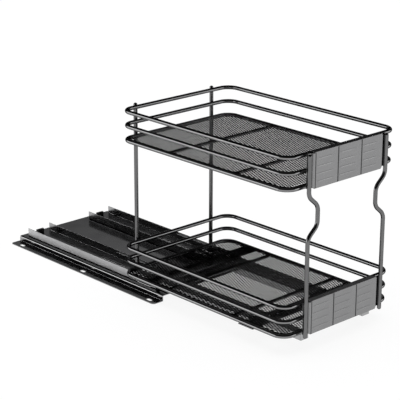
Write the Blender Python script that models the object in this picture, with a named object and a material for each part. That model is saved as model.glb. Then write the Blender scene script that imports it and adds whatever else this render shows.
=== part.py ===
"""Two-tier wire basket that pulls out of a cabinet on a telescopic slide base.

Run in Blender 4.5: blender --background --python part.py
Units are metres, +Z is up, and +X is the direction in which the basket pulls out.
The model stands pulled out. "near" is the -Y side and "far" is the +Y side.
"""

import math

import bmesh
import bpy
from mathutils import Vector

# Fits
GAP = 0.0003                  # seat between two pieces that touch
SLIDE_STOP_GAP = 0.002        # slides to rubber stops, pushed in

# Base pan, pressed from one sheet
BASE_LENGTH = 0.4613
BASE_WIDTH = 0.2920
PLATE_WIDTH = 0.2434          # raised middle of the pan
PLATE_TOP = 0.01235
PAN_SHEET = 0.0015
PAN_BEND = 0.0024
SLOT_LENGTH = 0.0140
SLOT_WIDTH = 0.0070
SLOT_EDGE = 0.0100            # slot centre to the flange's outer edge
SLOT_REAR_INSET = 0.0285
SLOT_FRONT_INSET = 0.0227
SLOT_COUNT = 3

# Fixed channels on the pan
SLIDE_CENTRE = 0.08235        # middle of the pan to the middle of each slide
CHANNEL_WIDTH = 0.0569
CHANNEL_HEIGHT = 0.01735
CHANNEL_REAR_INSET = 0.0160
CHANNEL_FRONT_INSET = 0.0323
CHANNEL_SHEET = 0.0015
SHEET_BEND = 0.0016

# Middle slide members, nested in the fixed channels
MIDDLE_WIDTH = 0.0451
MIDDLE_LIP = 0.0045
MIDDLE_FRONT_INSET = 0.0020   # pushed in, to the base's front end
MIDDLE_SHEET = 0.0015

# Inner rails under the basket
RAIL_WIDTH = 0.0192
RAIL_RISE = 0.00295           # over the middle member's floor
RAIL_CLEARANCE = 0.0027       # rail top over the channels' walls
RAIL_FRONT_INSET = 0.0050     # to the rings' front centreline
RAIL_SHEET = 0.0015
RAIL_END_BEVEL = 0.0003

# Glides and stops
GLIDE_BEVEL = 0.0005
GLIDE_INSET = 0.0017          # from the end of the member that holds them
REAR_GLIDE_SHARE = 0.62       # of the overlap left when pulled out
FRONT_GLIDE_LENGTH = 0.0600
RAIL_GLIDE_LENGTH = 0.1000
STOP_INSET = 0.0010           # from the channel's rear end
STOP_DEPTH = 0.0050
STOP_WIDTH = 0.0176
STOP_HEIGHT = 0.0088
STOP_BEVEL = 0.0008

# Travel
MIDDLE_TRAVEL = 0.2310
RAIL_TRAVEL = 0.1100
CLOSED_INSET = 0.0158         # rear posts inside the base's rear end, pushed in

# Basket wires and posts
BASKET_LENGTH = 0.4325        # between the rings' centrelines
BASKET_WIDTH = 0.2800
CORNER_RADIUS = 0.0240
WIRE = 0.0078
CROSS_WIRE = 0.0065
CROSS_WIRE_DROP = 0.0015      # below the ring's centre
FIRST_CROSS_WIRE = 0.1235     # from the rings' rear centreline
CROSS_WIRE_PITCH = 0.1730
CROSS_WIRES = ("rear", "front")
RING_LEVELS = ("bottom", "middle", "top")
LOWER_RING_PITCH = 0.0273
UPPER_RING_PITCH = 0.0284
TIER_RISE = 0.2703
POST = 0.0078
POST_SPACING = 0.1994
REAR_POST_ABOVE = 0.0066      # over the top ring's centre
FRONT_POST_ABOVE = 0.0041     # over the top ring's centre
FRONT_POST_BELOW = 0.0048     # under the lower plate
WAIST_DEPTH = 0.0236
WAIST_TOP = 0.0124            # top plate's lower edge to the first bend
WAIST_SLOPE_RISE = 0.0200
WAIST_STRAIGHT = 0.0357
WAIST_BEND = 0.0200

# Front plates
PLATE_SHEET = 0.0012
PLATE_BELOW = 0.0032          # under the bottom ring's centre
PLATE_ABOVE = 0.0055          # over the top ring's centre
PLATE_STANDOFF = 0.0044       # rings' front to the back of the plate's lips
PLATE_FACE_WIDTH = 0.1776
LIP_PAST_POST = 0.0023        # the lips' outer edges past the posts' middles
PLATE_DEPTH = 0.0050          # face in front of the lips
PLATE_RELIEF = 0.0020         # lips' ends short of the face's edges
GROOVE_SHIFT = 0.0032         # towards the far side
GROOVE_PITCH = 0.0608
GROOVE_WIDTH = 0.0035
GROOVE_DEPTH = 0.0010
GROOVE_SIDE_SHARE = 0.25      # of the groove's width, for each sloped side

# Mesh floors
MESH_SHEET = 0.0010
MESH_BORDER = 0.0070
MESH_CELL = 0.0390            # diamond to diamond, both ways
MESH_STRAND = 0.0050
MESH_SLIVER_SHARE = 0.125     # of a diamond, under which the border stays solid

# Cross plates that join the basket to the rails
CROSS_PLATE_WIDTH = 0.0370
CROSS_PLATE_SHEET = 0.0015
FIRST_CROSS_PLATE = 0.0630    # from the rings' rear centreline
CROSS_PLATE_PITCH = 0.2780
SCREW_HEAD = 0.0080
SCREW_HEAD_HEIGHT = 0.0022
SCREW_HEAD_BEVEL = 0.0011
SCREW_SHANK = 0.0040
SCREW_TAIL = 0.0030           # under the rail's web

# Fineness of round shapes
TUBE_RESOLUTION = 3
ARC_STEPS = 6
BEND_STEPS = 3
ROUND_SIDES = 16
SHARP_ANGLE = math.radians(40)
AXIS_DISPLAY_SIZE = 0.05

# Places along X, from the base's rear end forward
REAR_POST_DEPTH = WIRE / 2 + GAP + POST
REST_REACH = CLOSED_INSET + REAR_POST_DEPTH + MIDDLE_TRAVEL + RAIL_TRAVEL
POST_SETBACK = WIRE / 2 + PLATE_STANDOFF + PLATE_SHEET + GAP + POST / 2
OVERALL_LENGTH = REST_REACH + BASKET_LENGTH + POST_SETBACK + POST / 2
BASE_REAR = -OVERALL_LENGTH / 2
BASE_FRONT = BASE_REAR + BASE_LENGTH
RING_REAR = BASE_REAR + REST_REACH
RING_FRONT = RING_REAR + BASKET_LENGTH
RING_MIDDLE = (RING_REAR + RING_FRONT) / 2
REAR_POST_X = RING_REAR - WIRE / 2 - GAP - POST / 2
FRONT_POST_X = RING_FRONT + POST_SETBACK
CHANNEL_REAR = BASE_REAR + CHANNEL_REAR_INSET
CHANNEL_FRONT = BASE_FRONT - CHANNEL_FRONT_INSET
STOP_FRONT = CHANNEL_REAR + STOP_INSET + STOP_DEPTH
CLOSED_REAR = STOP_FRONT + SLIDE_STOP_GAP
MIDDLE_REAR = CLOSED_REAR + MIDDLE_TRAVEL
MIDDLE_FRONT = BASE_FRONT - MIDDLE_FRONT_INSET + MIDDLE_TRAVEL
RAIL_REAR = MIDDLE_REAR + RAIL_TRAVEL
RAIL_FRONT = RING_FRONT - RAIL_FRONT_INSET
OUTER_STOP = MIDDLE_REAR + REAR_GLIDE_SHARE * (CHANNEL_FRONT - MIDDLE_REAR)
INNER_STOP = MIDDLE_FRONT - GLIDE_INSET - FRONT_GLIDE_LENGTH

# Places along Z, from the ground up
CHANNEL_BOTTOM = PLATE_TOP + GAP
CHANNEL_TOP = CHANNEL_BOTTOM + CHANNEL_HEIGHT
MIDDLE_BOTTOM = CHANNEL_BOTTOM + CHANNEL_SHEET + GAP
MIDDLE_HEIGHT = CHANNEL_TOP - MIDDLE_BOTTOM
RAIL_BOTTOM = MIDDLE_BOTTOM + MIDDLE_SHEET + RAIL_RISE
RAIL_TOP = CHANNEL_TOP + RAIL_CLEARANCE
CROSS_PLATE_BOTTOM = RAIL_TOP + GAP
CROSS_PLATE_TOP = CROSS_PLATE_BOTTOM + CROSS_PLATE_SHEET
LOWER_RING = CROSS_PLATE_TOP + GAP + WIRE / 2
UPPER_RING = LOWER_RING + TIER_RISE
GLIDE_TOP = CHANNEL_TOP - CHANNEL_SHEET - GAP
RAIL_GLIDE_BOTTOM = MIDDLE_BOTTOM + MIDDLE_SHEET + GAP
RAIL_GLIDE_TOP = CHANNEL_TOP - MIDDLE_SHEET - GAP

# Places across the slides, from each slide's own middle
CHANNEL_INSIDE = CHANNEL_WIDTH / 2 - CHANNEL_SHEET
MIDDLE_INSIDE = MIDDLE_WIDTH / 2 - MIDDLE_SHEET

SIDES = (("near", -1), ("far", 1))
TIERS = (("lower", LOWER_RING, LOWER_RING_PITCH), ("upper", UPPER_RING, UPPER_RING_PITCH))

# Finishes: colour, roughness and metallic value
FINISHES = {
    "black_coat": ((0.012, 0.012, 0.013), 0.28, 0.0),
    "grey_coat": ((0.16, 0.16, 0.165), 0.34, 0.6),
    "plate_coat": ((0.26, 0.26, 0.265), 0.42, 0.5),
    "pan_coat": ((0.030, 0.030, 0.032), 0.40, 0.0),
    "slide_coat": ((0.040, 0.040, 0.042), 0.35, 0.3),
    "glide_plastic": ((0.020, 0.020, 0.020), 0.55, 0.0),
    "stop_rubber": ((0.008, 0.008, 0.008), 0.75, 0.0),
    "screw_zinc": ((0.45, 0.45, 0.46), 0.35, 1.0),
}


# Scene and finishes

def clear_scene():
    """Remove every object that the file already holds."""
    for old in list(bpy.data.objects):
        bpy.data.objects.remove(old, do_unlink=True)


def give_finish(piece, finish):
    """Give a piece a material of its own with the named finish."""
    colour, roughness, metallic = FINISHES[finish]
    material = bpy.data.materials.new(piece.name + "_" + finish)
    material.use_nodes = True
    shader = material.node_tree.nodes["Principled BSDF"]
    shader.inputs["Base Color"].default_value = (*colour, 1.0)
    shader.inputs["Roughness"].default_value = roughness
    shader.inputs["Metallic"].default_value = metallic
    piece.data.materials.append(material)


def place(piece, carrier, location):
    """Hang a piece on its carrier so that its origin lies at a place in the world."""
    bpy.context.scene.collection.objects.link(piece)
    piece.parent = carrier
    offset = Vector(location)
    while carrier is not None:
        offset -= carrier.location
        carrier = carrier.parent
    piece.location = offset


def make_axis(name, carrier, location):
    """An empty on a joint's axis, which carries the pieces that move with it."""
    axis = bpy.data.objects.new(name, None)
    axis.empty_display_size = AXIS_DISPLAY_SIZE
    place(axis, carrier, location)
    return axis


# Paths and outlines

def fillet_path(points, radius, steps):
    """Round the corners of an open path with arcs, limited by the path's legs."""
    corners = [Vector(point) for point in points]
    rounded = [corners[0]]
    for before, corner, after in zip(corners, corners[1:], corners[2:]):
        back = before - corner
        onward = after - corner
        half_angle = back.angle(onward) / 2
        leg = min(back.length, onward.length) / 2
        bend = min(radius, leg * math.tan(half_angle))
        back.normalize()
        onward.normalize()
        centre = corner + (back + onward).normalized() * (bend / math.sin(half_angle))
        setback = bend / math.tan(half_angle)
        start = (corner + back * setback - centre).normalized()
        end = (corner + onward * setback - centre).normalized()
        for step in range(steps + 1):
            rounded.append(centre + start.slerp(end, step / steps) * bend)
    rounded.append(corners[-1])
    return rounded


def rounded_rectangle(length, width, radius, steps):
    """Points round a rectangle with rounded corners, centred on its own middle."""
    corner_x = length / 2 - radius
    corner_y = width / 2 - radius
    quadrants = ((1, 1), (-1, 1), (-1, -1), (1, -1))
    points = []
    for turn, (side_x, side_y) in enumerate(quadrants):
        for step in range(steps + 1):
            angle = (turn + step / steps) * math.pi / 2
            x = side_x * corner_x + radius * math.cos(angle)
            y = side_y * corner_y + radius * math.sin(angle)
            points.append((x, y))
    return points


def slot_outline(length, width, steps):
    """Points round a slot along X with round ends, centred on its own middle."""
    radius = width / 2
    centre = length / 2 - radius
    points = []
    for turn, side in enumerate((1, -1)):
        for step in range(2 * steps + 1):
            angle = (turn - 0.5 + step / (2 * steps)) * math.pi
            points.append((side * centre + radius * math.cos(angle), radius * math.sin(angle)))
    return points


def clip_to_window(outline, half_length, half_width):
    """Keep the part of a convex outline that lies inside a centred rectangle."""
    limits = ((0, 1, half_length), (0, -1, half_length), (1, 1, half_width), (1, -1, half_width))
    for axis, sign, limit in limits:
        kept = []
        for start, end in zip(outline, outline[1:] + outline[:1]):
            start_over = sign * start[axis] - limit
            end_over = sign * end[axis] - limit
            if start_over <= 0:
                kept.append(start)
            if start_over * end_over < 0:
                share = start_over / (start_over - end_over)
                kept.append(tuple(a + (b - a) * share for a, b in zip(start, end)))
        outline = kept
    return outline


def outline_area(outline):
    """Area inside a flat closed outline."""
    pairs = zip(outline, outline[1:] + outline[:1])
    return abs(sum(a[0] * b[1] - b[0] * a[1] for a, b in pairs)) / 2


# Solids

def finish_mesh(name, build, closed=True):
    """Turn a bmesh into an object. The faces of a closed body are turned outwards."""
    if closed:
        bmesh.ops.recalc_face_normals(build, faces=build.faces)
    mesh = bpy.data.meshes.new(name)
    build.to_mesh(mesh)
    build.free()
    return bpy.data.objects.new(name, mesh)


def shade_round(piece):
    """Shade a round piece smooth and keep its real edges sharp."""
    piece.data.shade_smooth()
    piece.data.set_sharp_from_angle(angle=SHARP_ANGLE)


def bent_sheet(name, path, thickness, length):
    """A sheet that follows a path in the YZ plane, drawn out along X from 0 to length."""
    left = []
    right = []
    for index, point in enumerate(path):
        before = path[max(index - 1, 0)]
        after = path[min(index + 1, len(path) - 1)]
        along_in = (point - before).normalized() if index > 0 else (after - point).normalized()
        along_out = (after - point).normalized() if index < len(path) - 1 else along_in
        along = (along_in + along_out).normalized()
        reach = thickness / 2 / along.dot(along_in)
        normal = Vector((-along.y, along.x)) * reach
        left.append(point + normal)
        right.append(point - normal)
    build = bmesh.new()
    section = left + right[::-1]
    rear = [build.verts.new((0.0, y, z)) for y, z in section]
    front = [build.verts.new((length, y, z)) for y, z in section]
    count = len(section)
    for index in range(count):
        following = (index + 1) % count
        build.faces.new((rear[index], rear[following], front[following], front[index]))
    for end in (rear, front):
        for index in range(len(path) - 1):
            mirrored = count - 1 - index
            build.faces.new((end[index], end[index + 1], end[mirrored - 1], end[mirrored]))
    piece = finish_mesh(name, build)
    shade_round(piece)
    return piece


def prisms(name, outlines, bottom, top):
    """One mesh of upright prisms over convex outlines in the XY plane."""
    build = bmesh.new()
    for outline in outlines:
        low = [build.verts.new((x, y, bottom)) for x, y in outline]
        high = [build.verts.new((x, y, top)) for x, y in outline]
        build.faces.new(low)
        build.faces.new(high)
        for index in range(len(outline)):
            following = (index + 1) % len(outline)
            build.faces.new((low[index], low[following], high[following], high[index]))
    return finish_mesh(name, build)


def block(name, size, bevel):
    """A box centred on its origin, with its edges eased."""
    build = bmesh.new()
    bmesh.ops.create_cube(build, size=1.0)
    bmesh.ops.scale(build, vec=size, verts=build.verts)
    bmesh.ops.bevel(build, geom=build.edges[:], offset=bevel, segments=1, affect="EDGES")
    return finish_mesh(name, build)


def wire(name, points, diameter, closed=False, tip_steps=0):
    """A round wire along a path. tip_steps points at an end draw in to a dome."""
    curve = bpy.data.curves.new(name, "CURVE")
    curve.dimensions = "3D"
    curve.bevel_depth = diameter / 2
    curve.bevel_resolution = TUBE_RESOLUTION
    curve.use_fill_caps = not closed
    spline = curve.splines.new("POLY")
    spline.points.add(len(points) - 1)
    for target, point in zip(spline.points, points):
        target.co = (*point, 1.0)
    for step in range(tip_steps):
        share = math.cos(math.pi / 2 * (tip_steps - step) / (tip_steps + 1))
        spline.points[step].radius = share
        spline.points[-1 - step].radius = share
    spline.use_cyclic_u = closed
    return bpy.data.objects.new(name, curve)


def domed_ends(points, diameter, steps):
    """Add the points of a dome at both ends of an open path, inside its length."""
    points = [Vector(point) for point in points]
    for flip in (False, True):
        if flip:
            points.reverse()
        inward = (points[1] - points[0]).normalized()
        tip = points[0]
        dome = []
        for step in range(steps):
            angle = math.pi / 2 * (steps - step) / (steps + 1)
            dome.append(tip + inward * (diameter / 2 * (1 - math.sin(angle))))
        points = dome + [tip + inward * (diameter / 2)] + points[1:]
    points.reverse()
    return points


def turned(name, profile, sides):
    """A body turned about Z from a profile of radius and height that starts and ends on it."""
    build = bmesh.new()
    rings = []
    for radius, height in profile:
        if radius == 0.0:
            rings.append([build.verts.new((0.0, 0.0, height))])
            continue
        angles = [2 * math.pi * side / sides for side in range(sides)]
        ring = [(radius * math.cos(angle), radius * math.sin(angle), height) for angle in angles]
        rings.append([build.verts.new(corner) for corner in ring])
    for upper, lower in zip(rings, rings[1:]):
        for side in range(sides):
            following = (side + 1) % sides
            corners = [upper[side % len(upper)], upper[following % len(upper)],
                       lower[following % len(lower)], lower[side % len(lower)]]
            build.faces.new(list(dict.fromkeys(corners)))
    return finish_mesh(name, build)


def cut(piece, cutter):
    """Take the cutter's shape out of a piece, and leave the cutter as a guide."""
    cutter.parent = piece
    cutter.hide_render = True
    cutter.display_type = "WIRE"
    bpy.context.scene.collection.objects.link(cutter)
    removal = piece.modifiers.new("holes", "BOOLEAN")
    removal.operation = "DIFFERENCE"
    removal.solver = "EXACT"
    removal.object = cutter


# Base

def make_base_pan(carrier):
    """The pressed pan: a raised plate between two flanges with fixing slots."""
    flange_z = PAN_SHEET / 2
    plate_z = PLATE_TOP - PAN_SHEET / 2
    edge_y = BASE_WIDTH / 2
    step_y = PLATE_WIDTH / 2 - PAN_SHEET / 2
    corners = [(-edge_y, flange_z), (-step_y, flange_z), (-step_y, plate_z),
               (step_y, plate_z), (step_y, flange_z), (edge_y, flange_z)]
    path = fillet_path(corners, PAN_BEND, BEND_STEPS)
    pan = bent_sheet("base_pan", path, PAN_SHEET, BASE_LENGTH)
    place(pan, carrier, (BASE_REAR, 0.0, 0.0))
    cut(pan, make_slot_cutter())
    give_finish(pan, "pan_coat")


def make_slot_cutter():
    """Prisms with round ends through both flanges of the pan."""
    first = SLOT_REAR_INSET
    pitch = (BASE_LENGTH - SLOT_REAR_INSET - SLOT_FRONT_INSET) / (SLOT_COUNT - 1)
    shape = slot_outline(SLOT_LENGTH, SLOT_WIDTH, BEND_STEPS)
    outlines = []
    for _, side in SIDES:
        slot_y = side * (BASE_WIDTH / 2 - SLOT_EDGE)
        for count in range(SLOT_COUNT):
            slot_x = first + count * pitch
            outlines.append([(slot_x + x, slot_y + y) for x, y in shape])
    return prisms("slot_cutter", outlines, -PAN_SHEET, 2 * PAN_SHEET)


def make_fixed_channel(name, side, carrier):
    """A wide channel with plain walls on the pan, in which the middle member runs."""
    wall_y = CHANNEL_WIDTH / 2 - CHANNEL_SHEET / 2
    floor_z = CHANNEL_SHEET / 2
    corners = [(-wall_y, CHANNEL_HEIGHT), (-wall_y, floor_z),
               (wall_y, floor_z), (wall_y, CHANNEL_HEIGHT)]
    path = fillet_path(corners, SHEET_BEND, BEND_STEPS)
    channel = bent_sheet(name + "_fixed_channel", path, CHANNEL_SHEET, CHANNEL_FRONT - CHANNEL_REAR)
    place(channel, carrier, (CHANNEL_REAR, side * SLIDE_CENTRE, CHANNEL_BOTTOM))
    give_finish(channel, "slide_coat")


def make_rear_stop(name, side, carrier):
    """A rubber block in a channel's rear end, which the slides come up to."""
    stop = block(name + "_rear_stop", (STOP_DEPTH, STOP_WIDTH, STOP_HEIGHT), STOP_BEVEL)
    centre_z = CHANNEL_BOTTOM + CHANNEL_SHEET + GAP + STOP_HEIGHT / 2
    place(stop, carrier, (STOP_FRONT - STOP_DEPTH / 2, side * SLIDE_CENTRE, centre_z))
    give_finish(stop, "stop_rubber")


# Slides

def make_glides(name, side, carrier, rear, front, inside, outside, bottom, top):
    """A glide on each side between two nested members, sized by the space that they fill."""
    size = (front - rear, outside - inside - 2 * GAP, top - bottom)
    for wall, wall_side in (("inboard", -side), ("outboard", side)):
        glide = block(name + "_" + wall, size, GLIDE_BEVEL)
        centre_y = side * SLIDE_CENTRE + wall_side * (inside + outside) / 2
        place(glide, carrier, ((rear + front) / 2, centre_y, (bottom + top) / 2))
        give_finish(glide, "glide_plastic")


def make_outer_glides(name, side, base, middle):
    """Glides between a fixed channel and the middle member. They meet as the outer stop."""
    space = (MIDDLE_WIDTH / 2, CHANNEL_INSIDE, MIDDLE_BOTTOM, GLIDE_TOP)
    make_glides(name + "_channel_glide", side, base,
                OUTER_STOP, CHANNEL_FRONT - GLIDE_INSET, *space)
    make_glides(name + "_middle_rear_glide", side, middle,
                MIDDLE_REAR + GLIDE_INSET, OUTER_STOP - GAP, *space)


def make_inner_glides(name, side, middle, basket):
    """Glides between the middle member and the inner rail. They meet as the inner stop."""
    space = (RAIL_WIDTH / 2, MIDDLE_INSIDE, RAIL_GLIDE_BOTTOM, RAIL_GLIDE_TOP)
    make_glides(name + "_middle_front_glide", side, middle,
                INNER_STOP, MIDDLE_FRONT - GLIDE_INSET, *space)
    make_glides(name + "_rail_glide", side, basket,
                INNER_STOP - GAP - RAIL_GLIDE_LENGTH, INNER_STOP - GAP, *space)


def make_middle_slide(name, side, carrier):
    """The middle member, an upright channel with lips over the rail's glides."""
    wall_y = MIDDLE_WIDTH / 2 - MIDDLE_SHEET / 2
    lip_y = MIDDLE_WIDTH / 2 - MIDDLE_LIP
    floor_z = MIDDLE_SHEET / 2
    lip_z = MIDDLE_HEIGHT - MIDDLE_SHEET / 2
    half = [(wall_y, floor_z), (wall_y, lip_z), (lip_y, lip_z)]
    corners = [(-y, z) for y, z in reversed(half)] + half
    path = fillet_path(corners, SHEET_BEND, BEND_STEPS)
    member = bent_sheet(name + "_middle_slide", path, MIDDLE_SHEET, MIDDLE_FRONT - MIDDLE_REAR)
    place(member, carrier, (MIDDLE_REAR, side * SLIDE_CENTRE, MIDDLE_BOTTOM))
    give_finish(member, "slide_coat")


def make_inner_rail(name, side, carrier):
    """The rail under the basket, a channel open downwards."""
    wall_y = RAIL_WIDTH / 2 - RAIL_SHEET / 2
    web_z = RAIL_TOP - RAIL_BOTTOM - RAIL_SHEET / 2
    corners = [(-wall_y, 0.0), (-wall_y, web_z), (wall_y, web_z), (wall_y, 0.0)]
    path = fillet_path(corners, SHEET_BEND, BEND_STEPS)
    rail = bent_sheet(name + "_inner_rail", path, RAIL_SHEET, RAIL_FRONT - RAIL_REAR)
    place(rail, carrier, (RAIL_REAR, side * SLIDE_CENTRE, RAIL_BOTTOM))
    holes = [(x - RAIL_REAR, 0.0) for x in cross_plate_places()]
    cut(rail, make_hole_cutter(name + "_rail_cutter", holes, web_z - RAIL_SHEET,
                               web_z + RAIL_SHEET))
    give_finish(rail, "slide_coat")


def make_rail_end(name, side, carrier):
    """A plate welded over the rail's front end."""
    size = (RAIL_SHEET, RAIL_WIDTH, RAIL_TOP - RAIL_BOTTOM)
    plate = block(name + "_rail_end", size, RAIL_END_BEVEL)
    centre_x = RAIL_FRONT + GAP + RAIL_SHEET / 2
    place(plate, carrier, (centre_x, side * SLIDE_CENTRE, (RAIL_BOTTOM + RAIL_TOP) / 2))
    give_finish(plate, "slide_coat")


# Carriage

def cross_plate_places():
    """Where the two cross plates lie along X."""
    first = RING_REAR + FIRST_CROSS_PLATE
    return (first, first + CROSS_PLATE_PITCH)


def make_hole_cutter(name, places, bottom, top):
    """Round prisms that clear the screws' shanks."""
    radius = SCREW_SHANK / 2 + GAP
    outlines = []
    for hole_x, hole_y in places:
        angles = [2 * math.pi * side / ROUND_SIDES for side in range(ROUND_SIDES)]
        outlines.append([(hole_x + radius * math.cos(angle), hole_y + radius * math.sin(angle))
                         for angle in angles])
    return prisms(name, outlines, bottom, top)


def make_cross_plate(name, centre_x, carrier):
    """A flat strip across both rails, which the bottom ring is welded to."""
    half_length = CROSS_PLATE_WIDTH / 2
    half_width = (BASKET_WIDTH + WIRE) / 2
    outline = [(-half_length, -half_width), (half_length, -half_width),
               (half_length, half_width), (-half_length, half_width)]
    strip = prisms(name + "_cross_plate", [outline], 0.0, CROSS_PLATE_SHEET)
    place(strip, carrier, (centre_x, 0.0, CROSS_PLATE_BOTTOM))
    holes = [(0.0, side * SLIDE_CENTRE) for _, side in SIDES]
    cut(strip, make_hole_cutter(name + "_plate_cutter", holes, -CROSS_PLATE_SHEET,
                                2 * CROSS_PLATE_SHEET))
    give_finish(strip, "pan_coat")


def make_carriage_screw(name, centre_x, side, carrier):
    """A pan head screw through a cross plate into a rail."""
    head = SCREW_HEAD / 2
    shank = SCREW_SHANK / 2
    top = GAP + SCREW_HEAD_HEIGHT
    tail = -(CROSS_PLATE_SHEET + GAP + RAIL_SHEET + SCREW_TAIL)
    profile = [(0.0, top), (head - SCREW_HEAD_BEVEL, top), (head, top - SCREW_HEAD_BEVEL),
               (head, GAP), (shank, GAP), (shank, tail), (0.0, tail)]
    screw = turned(name, profile, ROUND_SIDES)
    shade_round(screw)
    place(screw, carrier, (centre_x, side * SLIDE_CENTRE, CROSS_PLATE_TOP))
    give_finish(screw, "screw_zinc")


# Baskets

def make_ring(name, height, carrier):
    """One closed wire loop of a basket."""
    outline = rounded_rectangle(BASKET_LENGTH, BASKET_WIDTH, CORNER_RADIUS, ARC_STEPS)
    ring = wire(name, [(x, y, 0.0) for x, y in outline], WIRE, closed=True)
    place(ring, carrier, (RING_MIDDLE, 0.0, height))
    give_finish(ring, "black_coat")


def make_cross_wire(name, offset, ring_height, carrier):
    """A straight wire across the bottom ring, which carries the mesh floor."""
    half_span = BASKET_WIDTH / 2 - WIRE / 2 - GAP
    bar = wire(name, [(0.0, -half_span, 0.0), (0.0, half_span, 0.0)], CROSS_WIRE)
    place(bar, carrier, (RING_REAR + offset, 0.0, ring_height - CROSS_WIRE_DROP))
    give_finish(bar, "black_coat")


def make_mesh_floor(name, ring_height, carrier):
    """The net that closes a basket's bottom, cut from one sheet as diamonds."""
    length = BASKET_LENGTH - WIRE - 2 * GAP
    width = BASKET_WIDTH - WIRE - 2 * GAP
    radius = CORNER_RADIUS - WIRE / 2 - GAP
    floor = prisms(name, [rounded_rectangle(length, width, radius, ARC_STEPS)], 0.0, MESH_SHEET)
    bottom = ring_height - CROSS_WIRE_DROP + CROSS_WIRE / 2 + GAP
    place(floor, carrier, (RING_MIDDLE, 0.0, bottom))
    cut(floor, make_mesh_cutter(name + "_cutter", length, width))
    give_finish(floor, "black_coat")


def make_mesh_cutter(name, length, width):
    """Diamond prisms in staggered rows, cut off along the floor's solid border."""
    half_length = length / 2 - MESH_BORDER
    half_width = width / 2 - MESH_BORDER
    reach = (MESH_CELL - MESH_STRAND * math.sqrt(2)) / 2
    columns = math.ceil(half_length / MESH_CELL)
    rows = math.ceil(half_width / MESH_CELL)
    outlines = []
    for stagger in (0.0, 0.5):
        for column in range(-columns, columns + 1):
            for row in range(-rows, rows + 1):
                x = (column + stagger) * MESH_CELL
                y = (row + stagger) * MESH_CELL
                diamond = [(x + reach, y), (x, y + reach), (x - reach, y), (x, y - reach)]
                opening = clip_to_window(diamond, half_length, half_width)
                smallest = MESH_SLIVER_SHARE * outline_area(diamond)
                if outline_area(opening) > smallest:
                    outlines.append(opening)
    return prisms(name, outlines, -MESH_SHEET, 2 * MESH_SHEET)


def plate_stations(face_x, lip_x):
    """The front plate's outline seen from above, as X and Y from near to far."""
    half_face = PLATE_FACE_WIDTH / 2
    half_lip = POST_SPACING / 2 + LIP_PAST_POST
    groove_x = face_x - GROOVE_DEPTH
    slope = GROOVE_SIDE_SHARE * GROOVE_WIDTH
    face = [(face_x, -half_face)]
    for side in (-1, 1):
        centre = GROOVE_SHIFT + side * GROOVE_PITCH / 2
        near = centre - GROOVE_WIDTH / 2
        far = centre + GROOVE_WIDTH / 2
        face += [(face_x, near), (groove_x, near + slope), (groove_x, far - slope), (face_x, far)]
    face.append((face_x, half_face))
    near_lip = [(lip_x, -half_lip), (lip_x, -half_face)]
    far_lip = [(lip_x, half_face), (lip_x, half_lip)]
    return near_lip, face, far_lip


def make_front_plate(name, bottom, top, carrier):
    """A pressed plate in front of a basket: face, side walls, lips and two flanges."""
    lip_x = FRONT_POST_X - POST / 2 - GAP
    face_x = lip_x + PLATE_DEPTH
    back_x = RING_FRONT + WIRE / 2 + GAP
    near_lip, face, far_lip = plate_stations(face_x, lip_x)
    heights = (0.0, PLATE_RELIEF, top - bottom - PLATE_RELIEF, top - bottom)
    build = bmesh.new()
    columns = [[build.verts.new((x - face_x, y, z)) for z in heights] for x, y in face]
    for left, right in zip(columns, columns[1:]):
        for row in range(len(heights) - 1):
            build.faces.new((left[row], right[row], right[row + 1], left[row + 1]))
    for row, turn in ((0, -1), (len(heights) - 1, 1)):
        edge = [build.verts.new((back_x - face_x, y, heights[row])) for _, y in face]
        for index in range(len(face) - 1):
            corners = (columns[index][row], columns[index + 1][row], edge[index + 1], edge[index])
            build.faces.new(corners[::turn])
    for lip, corner, turn in ((near_lip[::-1], columns[0], -1), (far_lip, columns[-1], 1)):
        previous = corner[1:3]
        for x, y in lip:
            following = [build.verts.new((x - face_x, y, z)) for z in heights[1:3]]
            corners = (previous[0], following[0], following[1], previous[1])
            build.faces.new(corners[::turn])
            previous = following
    sheet = finish_mesh(name, build, closed=False)
    thicken = sheet.modifiers.new("sheet", "SOLIDIFY")
    thicken.thickness = PLATE_SHEET
    thicken.offset = -1.0
    thicken.use_even_offset = True
    thicken.use_quality_normals = True
    place(sheet, carrier, (face_x, 0.0, bottom))
    give_finish(sheet, "plate_coat")


# Posts

def make_rear_post(name, side, carrier):
    """A straight post behind the rings, with a domed end."""
    bottom = LOWER_RING - WIRE / 2
    top = UPPER_RING + 2 * UPPER_RING_PITCH + REAR_POST_ABOVE
    path = domed_ends([(0.0, 0.0, bottom), (0.0, 0.0, top)], POST, BEND_STEPS)
    post = wire(name, path, POST, tip_steps=BEND_STEPS)
    place(post, carrier, (REAR_POST_X, side * POST_SPACING / 2, 0.0))
    give_finish(post, "grey_coat")


def make_front_post(name, side, carrier):
    """A post beside the front plates, drawn in to a waist under the upper one."""
    plate_bottom = UPPER_RING - PLATE_BELOW
    bend_top = plate_bottom - WAIST_TOP
    waist_top = bend_top - WAIST_SLOPE_RISE
    waist_bottom = waist_top - WAIST_STRAIGHT
    bend_bottom = waist_bottom - WAIST_SLOPE_RISE
    bottom = LOWER_RING - PLATE_BELOW - FRONT_POST_BELOW
    top = UPPER_RING + 2 * UPPER_RING_PITCH + FRONT_POST_ABOVE
    inward = -side * WAIST_DEPTH
    corners = [(0.0, 0.0, bottom), (0.0, 0.0, bend_bottom), (0.0, inward, waist_bottom),
               (0.0, inward, waist_top), (0.0, 0.0, bend_top), (0.0, 0.0, top)]
    path = fillet_path(corners, WAIST_BEND, BEND_STEPS + 1)
    post = wire(name, domed_ends(path, POST, BEND_STEPS), POST, tip_steps=BEND_STEPS)
    place(post, carrier, (FRONT_POST_X, side * POST_SPACING / 2, 0.0))
    give_finish(post, "grey_coat")


# The whole organizer

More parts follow.
